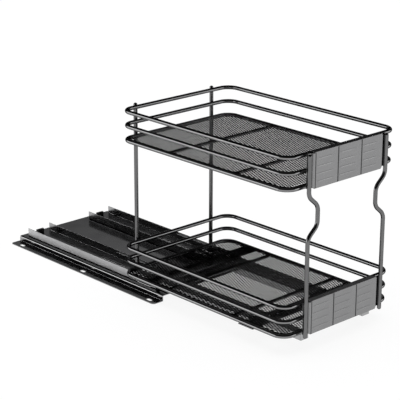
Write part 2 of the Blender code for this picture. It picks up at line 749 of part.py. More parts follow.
def make_tier(tier, ring_height, pitch, carrier):
    """One basket: three rings, two cross wires, a mesh floor and a front plate."""
    for level, label in enumerate(RING_LEVELS):
        make_ring(tier + "_ring_" + label, ring_height + level * pitch, carrier)
    for count, label in enumerate(CROSS_WIRES):
        offset = FIRST_CROSS_WIRE + count * CROSS_WIRE_PITCH
        make_cross_wire(tier + "_cross_wire_" + label, offset, ring_height, carrier)
    make_mesh_floor(tier + "_mesh_floor", ring_height, carrier)
    top = ring_height + 2 * pitch + PLATE_ABOVE
    make_front_plate(tier + "_front_plate", ring_height - PLATE_BELOW, top, carrier)


def main():
    """Build every piece on its carrier."""
    clear_scene()
    base = make_axis("base_frame", None, (0.0, 0.0, 0.0))
    middle = make_axis("middle_slide_axis", base, (MIDDLE_REAR, 0.0, MIDDLE_BOTTOM))
    basket = make_axis("basket_slide_axis", middle, (RAIL_REAR, 0.0, RAIL_BOTTOM))
    make_base_pan(base)
    for name, side in SIDES:
        make_fixed_channel(name, side, base)
        make_rear_stop(name, side, base)
        make_outer_glides(name, side, base, middle)
        make_middle_slide(name, side, middle)
        make_inner_glides(name, side, middle, basket)
        make_inner_rail(name, side, basket)
        make_rail_end(name, side, basket)
        make_rear_post(name + "_rear_post", side, basket)
        make_front_post(name + "_front_post", side, basket)
    for label, centre_x in zip(("rear", "front"), cross_plate_places()):
        make_cross_plate(label, centre_x, basket)
        for name, side in SIDES:
            make_carriage_screw(name + "_" + label + "_screw", centre_x, side, basket)
    for tier, ring_height, pitch in TIERS:
        make_tier(tier, ring_height, pitch, basket)


main()
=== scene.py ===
"""Looks of a two-tier wire basket that pulls out of a cabinet on telescopic channels.

Each piece is modelled around the loaded frame, in metres, +Z up. The basket pulls out
along +X. "near" is the -Y side and "far" is the +Y side.
"""

import math

import bmesh
import bpy
from mathutils import Euler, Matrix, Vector


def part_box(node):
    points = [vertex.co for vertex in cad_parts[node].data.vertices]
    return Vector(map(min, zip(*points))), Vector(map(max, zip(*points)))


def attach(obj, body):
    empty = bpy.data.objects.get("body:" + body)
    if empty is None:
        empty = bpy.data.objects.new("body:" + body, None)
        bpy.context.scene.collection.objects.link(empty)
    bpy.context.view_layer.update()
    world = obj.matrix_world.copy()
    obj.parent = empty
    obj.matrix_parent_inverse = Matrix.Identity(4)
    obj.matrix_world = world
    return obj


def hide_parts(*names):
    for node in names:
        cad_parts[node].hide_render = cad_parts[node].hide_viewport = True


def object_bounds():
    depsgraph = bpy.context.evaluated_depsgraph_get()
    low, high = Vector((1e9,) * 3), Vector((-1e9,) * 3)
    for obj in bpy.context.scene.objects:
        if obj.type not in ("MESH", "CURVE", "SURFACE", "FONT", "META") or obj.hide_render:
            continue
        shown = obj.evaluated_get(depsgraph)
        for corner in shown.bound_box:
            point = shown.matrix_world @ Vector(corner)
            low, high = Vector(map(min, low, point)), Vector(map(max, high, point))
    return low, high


bl_info = {
    "name": "Two-tier pull-out basket",
    "version": (1, 0, 0),
    "blender": (4, 5, 0),
    "location": "3D View > Sidebar > Pull-out basket",
    "description": "Models the finished surfaces of a two-tier pull-out wire basket",
    "category": "Object",
}

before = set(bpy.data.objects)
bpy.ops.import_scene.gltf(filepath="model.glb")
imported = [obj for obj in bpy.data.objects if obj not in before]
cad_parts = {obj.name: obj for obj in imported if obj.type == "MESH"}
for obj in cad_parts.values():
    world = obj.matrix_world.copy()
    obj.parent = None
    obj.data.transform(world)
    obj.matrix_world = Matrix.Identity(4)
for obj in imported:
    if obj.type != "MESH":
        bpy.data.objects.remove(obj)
CAD_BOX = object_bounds()

SIDES = (("near", -1), ("far", 1))
TIERS = ("lower", "upper")
LEVELS = ("bottom", "middle", "top")
ENDS = ("rear", "front")
BASE = "base"
MIDDLE = "middle_slides"
CARRIAGE = "basket_carriage"
WALLS = ("inboard", "outboard")
# Name of the mesh attribute that holds painted shade in the front plates' grooves, crease and
# pressed lines
CREASE_SHADE = "pressed"


# Places that the frame gives

def low(node):
    """A node's lowest corner."""
    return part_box(node)[0]


def high(node):
    """A node's highest corner."""
    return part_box(node)[1]


def centre(node):
    """The middle of a node's box."""
    return (low(node) + high(node)) / 2


def extent(node):
    """The size of a node's box."""
    return high(node) - low(node)


def ring_name(tier, level):
    """The node of one wire ring."""
    return f"{tier}_ring_{level}"


# Settings that a user would change

def length(name, description, default):
    """A length property, shown in the scene's own unit."""
    return bpy.props.FloatProperty(name=name, description=description, default=default,
                                   unit="LENGTH", precision=5, min=0.0)


def share(name, description, default):
    """A property from 0 to 1."""
    return bpy.props.FloatProperty(name=name, description=description, default=default,
                                   min=0.0, max=1.0, subtype="FACTOR")


def strength(name, description, default):
    """A strength of light."""
    return bpy.props.FloatProperty(name=name, description=description, default=default, min=0.0)


def degrees(name, description, default):
    """An angle, given in degrees."""
    return bpy.props.FloatProperty(name=name, description=description,
                                   default=math.radians(default), subtype="ANGLE")


def number_of(name, description, default):
    """A number of like things."""
    return bpy.props.IntProperty(name=name, description=description, default=default,
                                 min=1, max=64)


def tone(name, description, grey):
    """A neutral colour property."""
    return bpy.props.FloatVectorProperty(name=name, description=description, size=3,
                                         default=(grey, grey, grey * 1.01), min=0.0, max=1.0,
                                         subtype="COLOR")


class OrganizerWires(bpy.types.PropertyGroup):
    """Sizes of the rings, posts and welds."""

    corner_radius: length("Ring corner radius", "Bend radius at a ring's corners", 0.0240)
    ring_sides: number_of("Wire sides", "Faces round a wire", 24)
    post_sides: number_of("Post sides", "Faces round a post", 32)
    corner_steps: number_of("Corner steps", "Steps in a bend", 14)
    waist_depth: length("Waist depth", "How far a front post is drawn in", 0.0236)
    waist_top: length("Waist start", "From the upper plate down to the first bend", 0.0124)
    waist_slope: length("Waist slope", "Height of each slanted stretch", 0.0200)
    waist_straight: length("Waist straight", "Height of the waist itself", 0.0357)
    waist_bend: length("Waist bend", "Bend radius of a post", 0.0200)
    coat: length("Coat", "Thickness of the coat, which closes the seats at the welds", 0.0003)
    bead: length("Weld bead", "Radius of a weld bead", 0.0017)
    tack_pitch: length("Tack pitch", "Between the welds along the mesh border", 0.0600)


class OrganizerMesh(bpy.types.PropertyGroup):
    """Sizes of the expanded metal floors."""

    cell_length: length("Diamond length", "Long way of a diamond, along the basket", 0.01275)
    cell_width: length("Diamond width", "Short way of a diamond, across the basket", 0.00572)
    strand: length("Strand width", "Width of the metal between two diamonds", 0.0014)
    sheet: length("Sheet", "Thickness of the expanded sheet", 0.0006)
    bond: length("Bond length", "Stretch where two strands stay joined", 0.0016)
    border: length("Border", "Width of the plain border", 0.0018)
    border_share: share("Border sheet", "Border's thickness against the floor's height", 0.95)


class OrganizerSheet(bpy.types.PropertyGroup):
    """Sizes of the bent sheet pieces."""

    pan_sheet: length("Pan sheet", "Thickness of the base pan", 0.0015)
    pan_bend: length("Pan bend", "Middle radius of the pan's upper bends", 0.0024)
    flange_bend: length("Flange bend", "Middle radius of the bends at the flanges", 0.0013)
    corner_cut: length("Corner cut", "How far the flanges' corners are cut off", 0.0045)
    plate_width: length("Raised width", "Width of the pan's raised middle", 0.2434)
    slot_length: length("Slot length", "Length of a fixing slot", 0.0140)
    slot_width: length("Slot width", "Width of a fixing slot", 0.0070)
    slot_edge: length("Slot to edge", "From a slot's middle to the flange's edge", 0.0100)
    slot_rear: length("First slot", "From the pan's rear end to the first slot", 0.0285)
    slot_front: length("Last slot", "From the last slot to the pan's front end", 0.0227)
    slide_sheet: length("Slide sheet", "Thickness of channels, slides and rails", 0.0015)
    slide_bend: length("Slide bend", "Middle radius of their bends", 0.0016)
    slide_lip: length("Slide lip", "Width of the slide's lips", 0.0045)
    edge: length("Edge", "Rounding of cut edges", 0.00025)
    hole_width: length("Hole width", "Width of the screw holes", 0.0046)
    rail_hole: length("Rail hole", "Length of the screw holes in the rails", 0.00506)
    plate_hole: length("Plate hole", "Length of the screw holes in the cross plates", 0.0048)
    bend_steps: number_of("Bend steps", "Steps in a bend", 8)


class OrganizerPlate(bpy.types.PropertyGroup):
    """Sizes of the pressed front plates."""

    sheet: length("Plate sheet", "Thickness of a front plate", 0.0012)
    face_width: length("Face width", "Width of the raised face", 0.1776)
    lip_depth: length("Face depth", "From the lips to the face", 0.0050)
    relief: length("Relief", "Lips' ends short of the face's edges", 0.0020)
    bend: length("Bend", "Outer radius of the side walls' bends", 0.0016)
    fold: length("Fold", "Outer radius of the upper and lower folds", 0.0006)
    wall_lean: length("Wall lean", "How far the side walls lean out to the posts", 0.0040)
    edge_line: length("Edge line", "From the near edge to the crease beside it", 0.0039)
    edge_line_width: length("Edge line width", "Width of that crease", 0.0026)
    groove_shift: length("Groove shift", "Middle of the grooves, towards the far side", 0.0032)
    groove_pitch: length("Groove pitch", "Between the two grooves", 0.0608)
    groove_width: length("Groove width", "Width of a groove", 0.0035)
    groove_depth: length("Groove depth", "Depth of a groove", 0.0010)
    lines: number_of("Lines", "Pressed lines in each field", 4)
    line_pitch: length("Line pitch", "Between the pressed lines", 0.0135)
    line_width: length("Line width", "Width of a pressed line", 0.0016)
    line_depth: length("Line depth", "Depth of a pressed line", 0.00035)
    line_share: share("Line share", "How much of a field a line crosses", 0.75)
    # Painted shade of a pressed line, as a share of a groove's painted shade
    line_painted_shade: share("Line shade", "How dark a line is against a groove", 0.30)
    line_gap: share("Line gap", "From a groove to a line, in widths of a groove", 0.8)
    near_fade: length("Near fade", "Run-out of a line's near end", 0.0020)
    far_fade: length("Far fade", "Run-out of a line's far end", 0.0120)


class OrganizerFinish(bpy.types.PropertyGroup):
    """Tones of the finishes."""

    wire: tone("Wire coat", "Glossy dark coat of rings and cross wires", 0.24)
    mesh: tone("Mesh coat", "Dark coat of the mesh floors", 0.08)
    post: tone("Post coat", "Satin dark grey coat of the posts", 0.17)
    plate: tone("Plate coat", "Satin grey coat of the front plates", 0.285)
    pan: tone("Pan coat", "Dark coat of the base pan and cross plates", 0.36)
    # The channels' outer sides: a satin finish, and lighter than the slide coat as painted light
    slide: tone("Slide coat", "Coat of channels, slides and rails", 0.40)
    slide_side: tone("Slide side", "Satin outer sides of the fixed channels", 0.56)
    plastic: tone("Plastic", "Black sliding plastic", 0.020)
    rubber: tone("Rubber", "Black rubber of the stops", 0.010)
    zinc: tone("Zinc", "Plated screws", 0.60)


class OrganizerStage(bpy.types.PropertyGroup):
    """Camera, floor and light."""

    camera_place: bpy.props.FloatVectorProperty(
        name="Camera", description="Place of the camera", size=3,
        default=(2.0107, -1.8442, 1.0775), subtype="TRANSLATION", unit="LENGTH")
    azimuth: degrees("Azimuth", "Where the camera stands, round the object", 46.853)
    elevation: degrees("Elevation", "How far the camera looks down", 18.177)
    roll: degrees("Roll", "Turn of the camera about its own line of sight", 0.248)
    lens: bpy.props.FloatProperty(name="Lens", description="Focal length in millimetres",
                                  default=131.44, min=1.0)
    shift_x: bpy.props.FloatProperty(name="Shift X", description="Sideways camera shift",
                                     default=-0.01537)
    shift_y: bpy.props.FloatProperty(name="Shift Y", description="Upward camera shift",
                                     default=-0.01866)
    floor: tone("Floor", "Tone of the pale floor", 0.93)
    whiteness: share("Floor whiteness", "How much of the floor is plain white", 0.90)
    horizon: share("Horizon", "Level of the pale band over the floor", 0.95)
    overhead: share("Overhead", "Level of the dark studio overhead", 0.015)
    left_panel: strength("Left panel", "Level of the soft panel to the left", 3.0)
    right_panel: strength("Right panel", "Level of the soft panel to the right", 2.0)
    rear_panel: strength("Rear panel", "Level of the dim panel behind", 0.58)
    sun_strength: strength("Overhead light", "Strength of the soft overhead light", 3.4)
    sun_angle: degrees("Overhead spread", "How wide the overhead light is", 70)


SETTINGS = {
    "organizer_wires": OrganizerWires,
    "organizer_mesh": OrganizerMesh,
    "organizer_sheet": OrganizerSheet,
    "organizer_plate": OrganizerPlate,
    "organizer_finish": OrganizerFinish,
    "organizer_stage": OrganizerStage,
}


# Paths

def fillet_path(points, radius, steps):
    """Round the corners of an open path with arcs, limited by the path's legs.

    The radius is one number, or one for each corner.
    """
    corners = [Vector(point) for point in points]
    radii = radius if isinstance(radius, list) else [radius] * (len(corners) - 2)
    rounded = [corners[0]]
    for before, corner, after, wanted in zip(corners, corners[1:], corners[2:], radii):
        back = before - corner
        onward = after - corner
        half_angle = back.angle(onward) / 2
        leg = min(back.length, onward.length) / 2
        bend = min(wanted, leg * math.tan(half_angle))
        back.normalize()
        onward.normalize()
        middle = corner + (back + onward).normalized() * (bend / math.sin(half_angle))
        setback = bend / math.tan(half_angle)
        start = (corner + back * setback - middle).normalized()
        end = (corner + onward * setback - middle).normalized()
        for step in range(steps + 1):
            rounded.append(middle + start.slerp(end, step / steps) * bend)
    rounded.append(corners[-1])
    return rounded


def slot_outline(long_way, wide, steps):
    """Points round a slot along X with round ends, centred on its own middle."""
    radius = wide / 2
    reach = long_way / 2 - radius
    points = []
    for turn, side in enumerate((1, -1)):
        for step in range(2 * steps + 1):
            angle = (turn - 0.5 + step / (2 * steps)) * math.pi
            points.append((side * reach + radius * math.cos(angle), radius * math.sin(angle)))
    return points


def box_outline(start_x, start_y, end_x, end_y):
    """The corners of a rectangle."""
    return [(start_x, start_y), (end_x, start_y), (end_x, end_y), (start_x, end_y)]


def moved(outline, x, y):
    """An outline round another place."""
    return [(x + part_x, y + part_y) for part_x, part_y in outline]


def even_places(start, end, number):
    """Places spread evenly between two ends, which are left out."""
    spacing = (end - start) / (number + 1)
    return [start + (index + 1) * spacing for index in range(number)]


# Meshes

def finish_mesh(name, build, closed=True):
    """Turn a bmesh into a mesh. The faces of a closed body are turned outwards."""
    if closed:
        bmesh.ops.recalc_face_normals(build, faces=build.faces)
    mesh = bpy.data.meshes.new(name)
    build.to_mesh(mesh)
    build.free()
    return mesh


def shade_round(mesh, angle=35):
    """Shade smooth and keep real edges sharp."""
    mesh.shade_smooth()
    mesh.set_sharp_from_angle(angle=math.radians(angle))


def add_sides(build, starts, ends):
    """Faces between two like rings of corners."""
    for index in range(len(starts)):
        following = (index + 1) % len(starts)
        build.faces.new((starts[index], starts[following], ends[following], ends[index]))


def add_prism(build, starts, ends):
    """A closed prism between two like outlines."""
    first = [build.verts.new(corner) for corner in starts]
    second = [build.verts.new(corner) for corner in ends]
    build.faces.new(first)
    build.faces.new(second)
    add_sides(build, first, second)


def bent_sheet(name, path, thickness, start, end):
    """A sheet that follows a path in the YZ plane, drawn out along X."""
    left = []
    right = []
    for index, point in enumerate(path):
        before = path[max(index - 1, 0)]
        after = path[min(index + 1, len(path) - 1)]
        along_in = (point - before).normalized() if index > 0 else (after - point).normalized()
        along_out = (after - point).normalized() if index < len(path) - 1 else along_in
        along = (along_in + along_out).normalized()
        normal = Vector((-along.y, along.x)) * (thickness / 2 / along.dot(along_in))
        left.append(point + normal)
        right.append(point - normal)
    build = bmesh.new()
    section = left + right[::-1]
    rear = [build.verts.new((start, y, z)) for y, z in section]
    front = [build.verts.new((end, y, z)) for y, z in section]
    add_sides(build, rear, front)
    for edge in (rear, front):
        for index in range(len(path) - 1):
            mirrored = len(section) - 1 - index
            build.faces.new((edge[index], edge[index + 1], edge[mirrored - 1], edge[mirrored]))
    mesh = finish_mesh(name, build)
    shade_round(mesh)
    return mesh


def prisms(name, outlines, bottom, top):
    """One mesh of upright prisms over outlines in the XY plane."""
    build = bmesh.new()
    for outline in outlines:
        add_prism(build, [(x, y, bottom) for x, y in outline], [(x, y, top) for x, y in outline])
    return finish_mesh(name, build)


def box_piece(node, ending):
    """A plain piece in a node's box, to be cut and rounded."""
    lowest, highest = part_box(node)
    outline = box_outline(lowest.x, lowest.y, highest.x, highest.y)
    return make_object(node + ending, prisms(node, [outline], lowest.z, highest.z))


def cut_away(piece, outlines, bottom, top):
    """Take upright prisms over some outlines out of a piece."""
    cutter = make_object("cutter", prisms("cutter", outlines, bottom, top))
    removal = piece.modifiers.new("holes", "BOOLEAN")
    removal.operation = "DIFFERENCE"
    removal.solver = "EXACT"
    removal.object = cutter
    apply_modifiers(piece)
    bpy.data.objects.remove(cutter, do_unlink=True)


def apply_modifiers(piece):
    """Turn what a piece's modifiers make into its own plain mesh."""
    view_layer = bpy.context.view_layer
    view_layer.update()
    graph = bpy.context.evaluated_depsgraph_get()
    made = bpy.data.meshes.new_from_object(piece.evaluated_get(graph), depsgraph=graph)
    piece.modifiers.clear()
    made.name = piece.name
    piece.data = made


def round_edges(piece, width, segments=2, angle=40):
    """Round a piece's edges and shade it so that its flat faces stay flat beside bends."""
    bevel = piece.modifiers.new("edges", "BEVEL")
    bevel.width = width
    bevel.segments = segments
    bevel.limit_method = "ANGLE"
    bevel.angle_limit = math.radians(angle)
    bevel.harden_normals = False
    apply_modifiers(piece)
    shade_round(piece.data)
    weighted = piece.modifiers.new("flat faces", "WEIGHTED_NORMAL")
    weighted.keep_sharp = True
    weighted.weight = 100
    apply_modifiers(piece)


def make_object(name, data):
    """A linked object at the origin."""
    piece = bpy.data.objects.new(name, data)
    bpy.context.scene.collection.objects.link(piece)
    return piece


def settle(piece, body, slot, *nodes):
    """Give a finished piece the finish of its slot, tie it to its body, and hide the nodes that it
    stands for.
    """
    if not piece.data.materials:
        piece.data.materials.append(finishes()[slot])
    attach(piece, body)
    if nodes:
        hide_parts(*nodes)


# Geometry node trees

FLOAT = "NodeSocketFloat"
COUNT = "NodeSocketInt"
POINT = "NodeSocketVector"
MATERIAL = "NodeSocketMaterial"
OBJECT = "NodeSocketObject"
GEOMETRY = "NodeSocketGeometry"


def add_node(tree, kind, inputs=None, output=0, **settings):
    """Add a node, set or link its inputs, and give back one of its outputs."""
    made = tree.nodes.new(kind)
    for label, value in settings.items():
        setattr(made, label, value)
    for label, value in (inputs or {}).items():
        socket = made.inputs[label]
        if isinstance(value, bpy.types.NodeSocket):
            tree.links.new(value, socket)
        else:
            socket.default_value = value
    return made.outputs[output]


class TreeBuilder:
    """A geometry node tree that is written down node by node."""

    def __init__(self, name, inputs):
        self.tree = bpy.data.node_groups.new(name, "GeometryNodeTree")
        self.tree.interface.new_socket("Geometry", in_out="OUTPUT", socket_type=GEOMETRY)
        self.tree.interface.new_socket("Geometry", in_out="INPUT", socket_type=GEOMETRY)
        for label, kind in inputs.items():
            self.tree.interface.new_socket(label, in_out="INPUT", socket_type=kind)
        self.group_in = self.tree.nodes.new("NodeGroupInput")
        self.group_out = self.tree.nodes.new("NodeGroupOutput")

    def __getitem__(self, label):
        """The socket that carries one of the tree's inputs."""
        return self.group_in.outputs[label]

    def node(self, kind, inputs=None, output=0, **settings):
        """Add a node to this tree."""
        return add_node(self.tree, kind, inputs, output, **settings)

    def math(self, operation, first, second=0.0):
        """A sum, product or other result of two numbers."""
        return self.node("ShaderNodeMath", {0: first, 1: second}, operation=operation)

    def times(self, first, second):
        """The product of two numbers."""
        return self.math("MULTIPLY", first, second)

    def minus(self, first, second):
        """The difference of two numbers."""
        return self.math("SUBTRACT", first, second)

    def half(self, value):
        """Half of a number."""
        return self.times(value, 0.5)

    def vector(self, x=0.0, y=0.0, z=0.0):
        """A vector from its three parts."""
        return self.node("ShaderNodeCombineXYZ", {0: x, 1: y, 2: z})

    def circle(self, radius):
        """A round section, whose radius is one of the tree's inputs."""
        return self.node("GeometryNodeCurvePrimitiveCircle",
                         {"Resolution": self["Sides"], "Radius": self[radius]})

    def rectangle(self, width, height):
        """A rectangular curve."""
        return self.node("GeometryNodeCurvePrimitiveQuadrilateral",
                         {"Width": width, "Height": height})

    def rounded(self, outline, radius):
        """A curve with rounded corners."""
        return self.node("GeometryNodeFilletCurve",
                         {"Curve": outline, "Count": self["Corner Steps"],
                          "Radius": radius}, mode="POLY")

    def sweep(self, path, section, **more):
        """A mesh from a section that follows a path."""
        inputs = {"Curve": path, "Profile Curve": section}
        inputs.update({label.replace("_", " "): value for label, value in more.items()})
        return self.node("GeometryNodeCurveToMesh", inputs)

    def place(self, geometry):
        """Geometry moved to the tree's own centre."""
        return self.node("GeometryNodeTransform",
                         {"Geometry": geometry, "Translation": self["Centre"]})

    def join(self, *parts):
        """One geometry of several parts."""
        made = self.tree.nodes.new("GeometryNodeJoinGeometry")
        for part in reversed(parts):
            self.tree.links.new(part, made.inputs[0])
        return made.outputs[0]

    def finish(self, geometry, smooth=True):
        """Make real, coated geometry the tree's result."""
        real = self.node("GeometryNodeRealizeInstances", {0: geometry})
        shaded = self.node("GeometryNodeSetShadeSmooth", {"Geometry": real,
                                                          "Shade Smooth": smooth})
        coated = self.node("GeometryNodeSetMaterial",
                           {"Geometry": shaded, "Material": self["Material"]})
        self.tree.links.new(coated, self.group_out.inputs[0])
        return self.tree


def run_tree(name, tree, values, data=None):
    """Run a tree on a new object and keep its result as that object's plain mesh."""
    piece = make_object(name, data or bpy.data.meshes.new(name))
    modifier = piece.modifiers.new(tree.name, "NODES")
    modifier.node_group = tree
    for item in tree.interface.items_tree:
        if item.in_out == "INPUT" and item.name in values:
            modifier[item.identifier] = values[item.name]
    graph = bpy.context.evaluated_depsgraph_get()
    made = bpy.data.meshes.new_from_object(piece.evaluated_get(graph), depsgraph=graph)
    made.name = name
    bpy.data.objects.remove(piece, do_unlink=True)
    return make_object(name, made)


def ring_tree():
    """A closed wire that follows a rectangle with rounded corners."""
    build = TreeBuilder("Closed wire ring", {
        "Length": FLOAT, "Width": FLOAT, "Corner Radius": FLOAT, "Corner Steps": COUNT,
        "Wire Radius": FLOAT, "Sides": COUNT, "Centre": POINT, "Material": MATERIAL})
    outline = build.rectangle(build["Length"], build["Width"])
    rounded = build.rounded(outline, build["Corner Radius"])
    return build.finish(build.place(build.sweep(rounded, build.circle("Wire Radius"))))


def bar_tree():
    """A round bar along the object's own path, whose point radii shape its ends."""
    build = TreeBuilder("Round bar", {"Bar Radius": FLOAT, "Sides": COUNT,
                                      "Material": MATERIAL})
    reach = build.node("GeometryNodeInputRadius")
    return build.finish(build.sweep(build["Geometry"], build.circle("Bar Radius"),
                                    Scale=reach, Fill_Caps=True))


def cross_wire_tree():
    """Straight wires across a basket, repeated along it."""
    build = TreeBuilder("Cross wires", {
        "Span": FLOAT, "Wire Radius": FLOAT, "Sides": COUNT, "Count": COUNT,
        "Pitch": FLOAT, "First": POINT, "Material": MATERIAL})
    half = build.half(build["Span"])
    line = build.node("GeometryNodeCurvePrimitiveLine",
                      {"Start": build.vector(y=build.times(half, -1.0)),
                       "End": build.vector(y=half)})
    wire = build.sweep(line, build.circle("Wire Radius"), Fill_Caps=True)
    row = build.node("GeometryNodeMeshLine",
                     {"Count": build["Count"], "Start Location": build["First"],
                      "Offset": build.vector(x=build["Pitch"])})
    wires = build.node("GeometryNodeInstanceOnPoints", {"Points": row, "Instance": wire})
    return build.finish(wires)


def expanded_metal_tree():
    """Expanded sheet: zigzag strands that stay joined in pairs, and a plain border."""
    build = TreeBuilder("Expanded metal", {
        "Length": FLOAT, "Width": FLOAT, "Cell Length": FLOAT, "Cell Width": FLOAT,
        "Strand": FLOAT, "Sheet": FLOAT, "Bond": FLOAT, "Border": FLOAT,
        "Border Sheet": FLOAT, "Corner Radius": FLOAT, "Corner Steps": COUNT,
        "Columns": COUNT, "Rows": COUNT, "Centre": POINT, "Material": MATERIAL})
    half_width = build.half(build["Cell Width"])
    half_length = build.half(build["Cell Length"])
    points = build.node("GeometryNodeMeshLine", {"Count": build.times(build["Columns"], 4.0)})
    path = build.node("GeometryNodeMeshToCurve", {"Mesh": points})
    index = build.node("GeometryNodeInputIndex")
    odd = build.math("MODULO", index, 2.0)
    knee = build.math("FLOOR", build.half(index))
    along = build.math("ADD", build.times(knee, half_length),
                       build.times(build.minus(odd, 0.5), build["Bond"]))
    total = build.times(build["Columns"], build["Cell Length"])
    centred = build.minus(along, build.minus(build.half(total), build.half(half_length)))
    parity = build.minus(build.math("MODULO", knee, 2.0), 0.5)
    across = build.times(parity, build.minus(half_width, build["Strand"]))
    bent = build.node("GeometryNodeSetPosition",
                      {"Geometry": path, "Position": build.vector(centred, across)})
    upright = build.node("GeometryNodeSetCurveNormal", {"Curve": bent}, mode="Z_UP")
    section = build.rectangle(build["Strand"], build["Sheet"])
    strand = build.sweep(upright, section, Fill_Caps=True)
    strands = build.times(build["Rows"], 2.0)
    start = build.times(build.times(build.minus(strands, 1.0), half_width), -0.5)
    column = build.node("GeometryNodeMeshLine",
                        {"Count": strands, "Start Location": build.vector(y=start),
                         "Offset": build.vector(y=half_width)})
    net = build.node("GeometryNodeInstanceOnPoints",
                     {"Points": column, "Instance": strand,
                      "Rotation": build.vector(x=build.times(odd, math.pi))})
    border = build["Border"]
    outline = build.rectangle(build.minus(build["Length"], border),
                              build.minus(build["Width"], border))
    radius = build.minus(build["Corner Radius"], build.half(border))
    edge_up = build.node("GeometryNodeSetCurveNormal",
                         {"Curve": build.rounded(outline, radius)}, mode="Z_UP")
    frame_strip = build.sweep(edge_up, build.rectangle(border, build["Border Sheet"]))
    return build.finish(build.place(build.join(net, frame_strip)), smooth=False)


def scatter_tree(name):
    """One source mesh on every vertex of the object's own mesh."""
    build = TreeBuilder(name, {"Source": OBJECT, "Material": MATERIAL})
    source = build.node("GeometryNodeObjectInfo", {"Object": build["Source"]},
                        output="Geometry")
    copies = build.node("GeometryNodeInstanceOnPoints",
                        {"Points": build["Geometry"], "Instance": source})
    return build.finish(copies)


# Finishes

# Scales of the noise patterns, and the values between which they count
CLOUD_SCALE = 14.0
GLOSS_SCALE = 60.0
MARBLE_SCALE = 120.0
TONE_EDGES = (0.35, 0.65)
GLOSS_EDGES = (0.3, 0.7)
GLOSS_SHARES = (0.85, 1.2)
PLASTIC_LIGHT = 1.6


def new_material(name, colour, roughness, metallic):
    """A material with one Principled shader, and its node tree and shader."""
    material = bpy.data.materials.new(name)
    material.use_nodes = True
    tree = material.node_tree
    shader = tree.nodes["Principled BSDF"]
    shader.inputs["Base Color"].default_value = (*colour, 1.0)
    shader.inputs["Roughness"].default_value = roughness
    shader.inputs["Metallic"].default_value = metallic
    return material, tree, shader


def noise(tree, scale, detail=2.0):
    """A noise pattern in the object's own metres."""
    place = add_node(tree, "ShaderNodeTexCoord", output="Object")
    return add_node(tree, "ShaderNodeTexNoise",
                    {"Vector": place, "Scale": scale, "Detail": detail}, output="Fac")


def map_range(tree, value, edges, levels, **settings):
    """A change from one level to the other, as a value goes from edge to edge."""
    return add_node(tree, "ShaderNodeMapRange",
                    {"Value": value, "From Min": edges[0], "From Max": edges[1],
                     "To Min": levels[0], "To Max": levels[1]}, output="Result", **settings)


def blend_tones(tree, pattern, dark, light):
    """Mix two tones by a pattern."""
    ramp = tree.nodes.new("ShaderNodeValToRGB")
    for element, place, colour in zip(ramp.color_ramp.elements, TONE_EDGES, (dark, light)):
        element.position = place
        element.color = (*colour, 1.0)
    tree.links.new(pattern, ramp.inputs["Fac"])
    return ramp.outputs["Color"]


def add_bump(tree, shader, pattern, height):
    """Fine surface relief, with its height in metres."""
    normal = add_node(tree, "ShaderNodeBump",
                      {"Height": pattern, "Strength": 1.0, "Distance": height},
                      output="Normal")
    tree.links.new(normal, shader.inputs["Normal"])


def coated_metal(name, colour, roughness, variation, peel_scale, peel_height, rim=1.0):
    """A coated metal: slight changes of tone and gloss, a dark rim and fine orange peel."""
    material, tree, shader = new_material(name, colour, roughness, 1.0)
    shader.inputs["Specular Tint"].default_value = (rim, rim, rim, 1.0)
    dark = tuple(part * (1 - variation) for part in colour)
    light = tuple(min(part * (1 + variation), 1.0) for part in colour)
    clouds = blend_tones(tree, noise(tree, CLOUD_SCALE, detail=3.0), dark, light)
    tree.links.new(clouds, shader.inputs["Base Color"])
    gloss = map_range(tree, noise(tree, GLOSS_SCALE, detail=4.0), GLOSS_EDGES,
                      [roughness * part for part in GLOSS_SHARES])
    tree.links.new(gloss, shader.inputs["Roughness"])
    add_bump(tree, shader, noise(tree, peel_scale), peel_height)
    return material


def paint_crease_shade(material, shade):
    """Darken a coat with painted shade where the mesh's attribute says that the sheet is pressed
    in.
    """
    tree = material.node_tree
    shader = tree.nodes["Principled BSDF"]
    coat = shader.inputs["Base Color"].links[0].from_socket
    pressed = add_node(tree, "ShaderNodeAttribute", output="Fac", attribute_name=CREASE_SHADE)
    keep = map_range(tree, pressed, (0.0, 1.0), (1.0, shade))
    crease_shaded = add_node(tree, "ShaderNodeVectorMath", {0: coat, "Scale": keep},
                      operation="SCALE")
    tree.links.new(crease_shaded, shader.inputs["Base Color"])
    return material


def moulded(name, colour, roughness, grain_scale, grain_height):
    """Moulded plastic or rubber with a fine grain."""
    material, tree, shader = new_material(name, colour, roughness, 0.0)
    light = tuple(part * PLASTIC_LIGHT for part in colour)
    marble = blend_tones(tree, noise(tree, MARBLE_SCALE), colour, light)
    tree.links.new(marble, shader.inputs["Base Color"])
    add_bump(tree, shader, noise(tree, grain_scale, detail=3.0), grain_height)
    return material


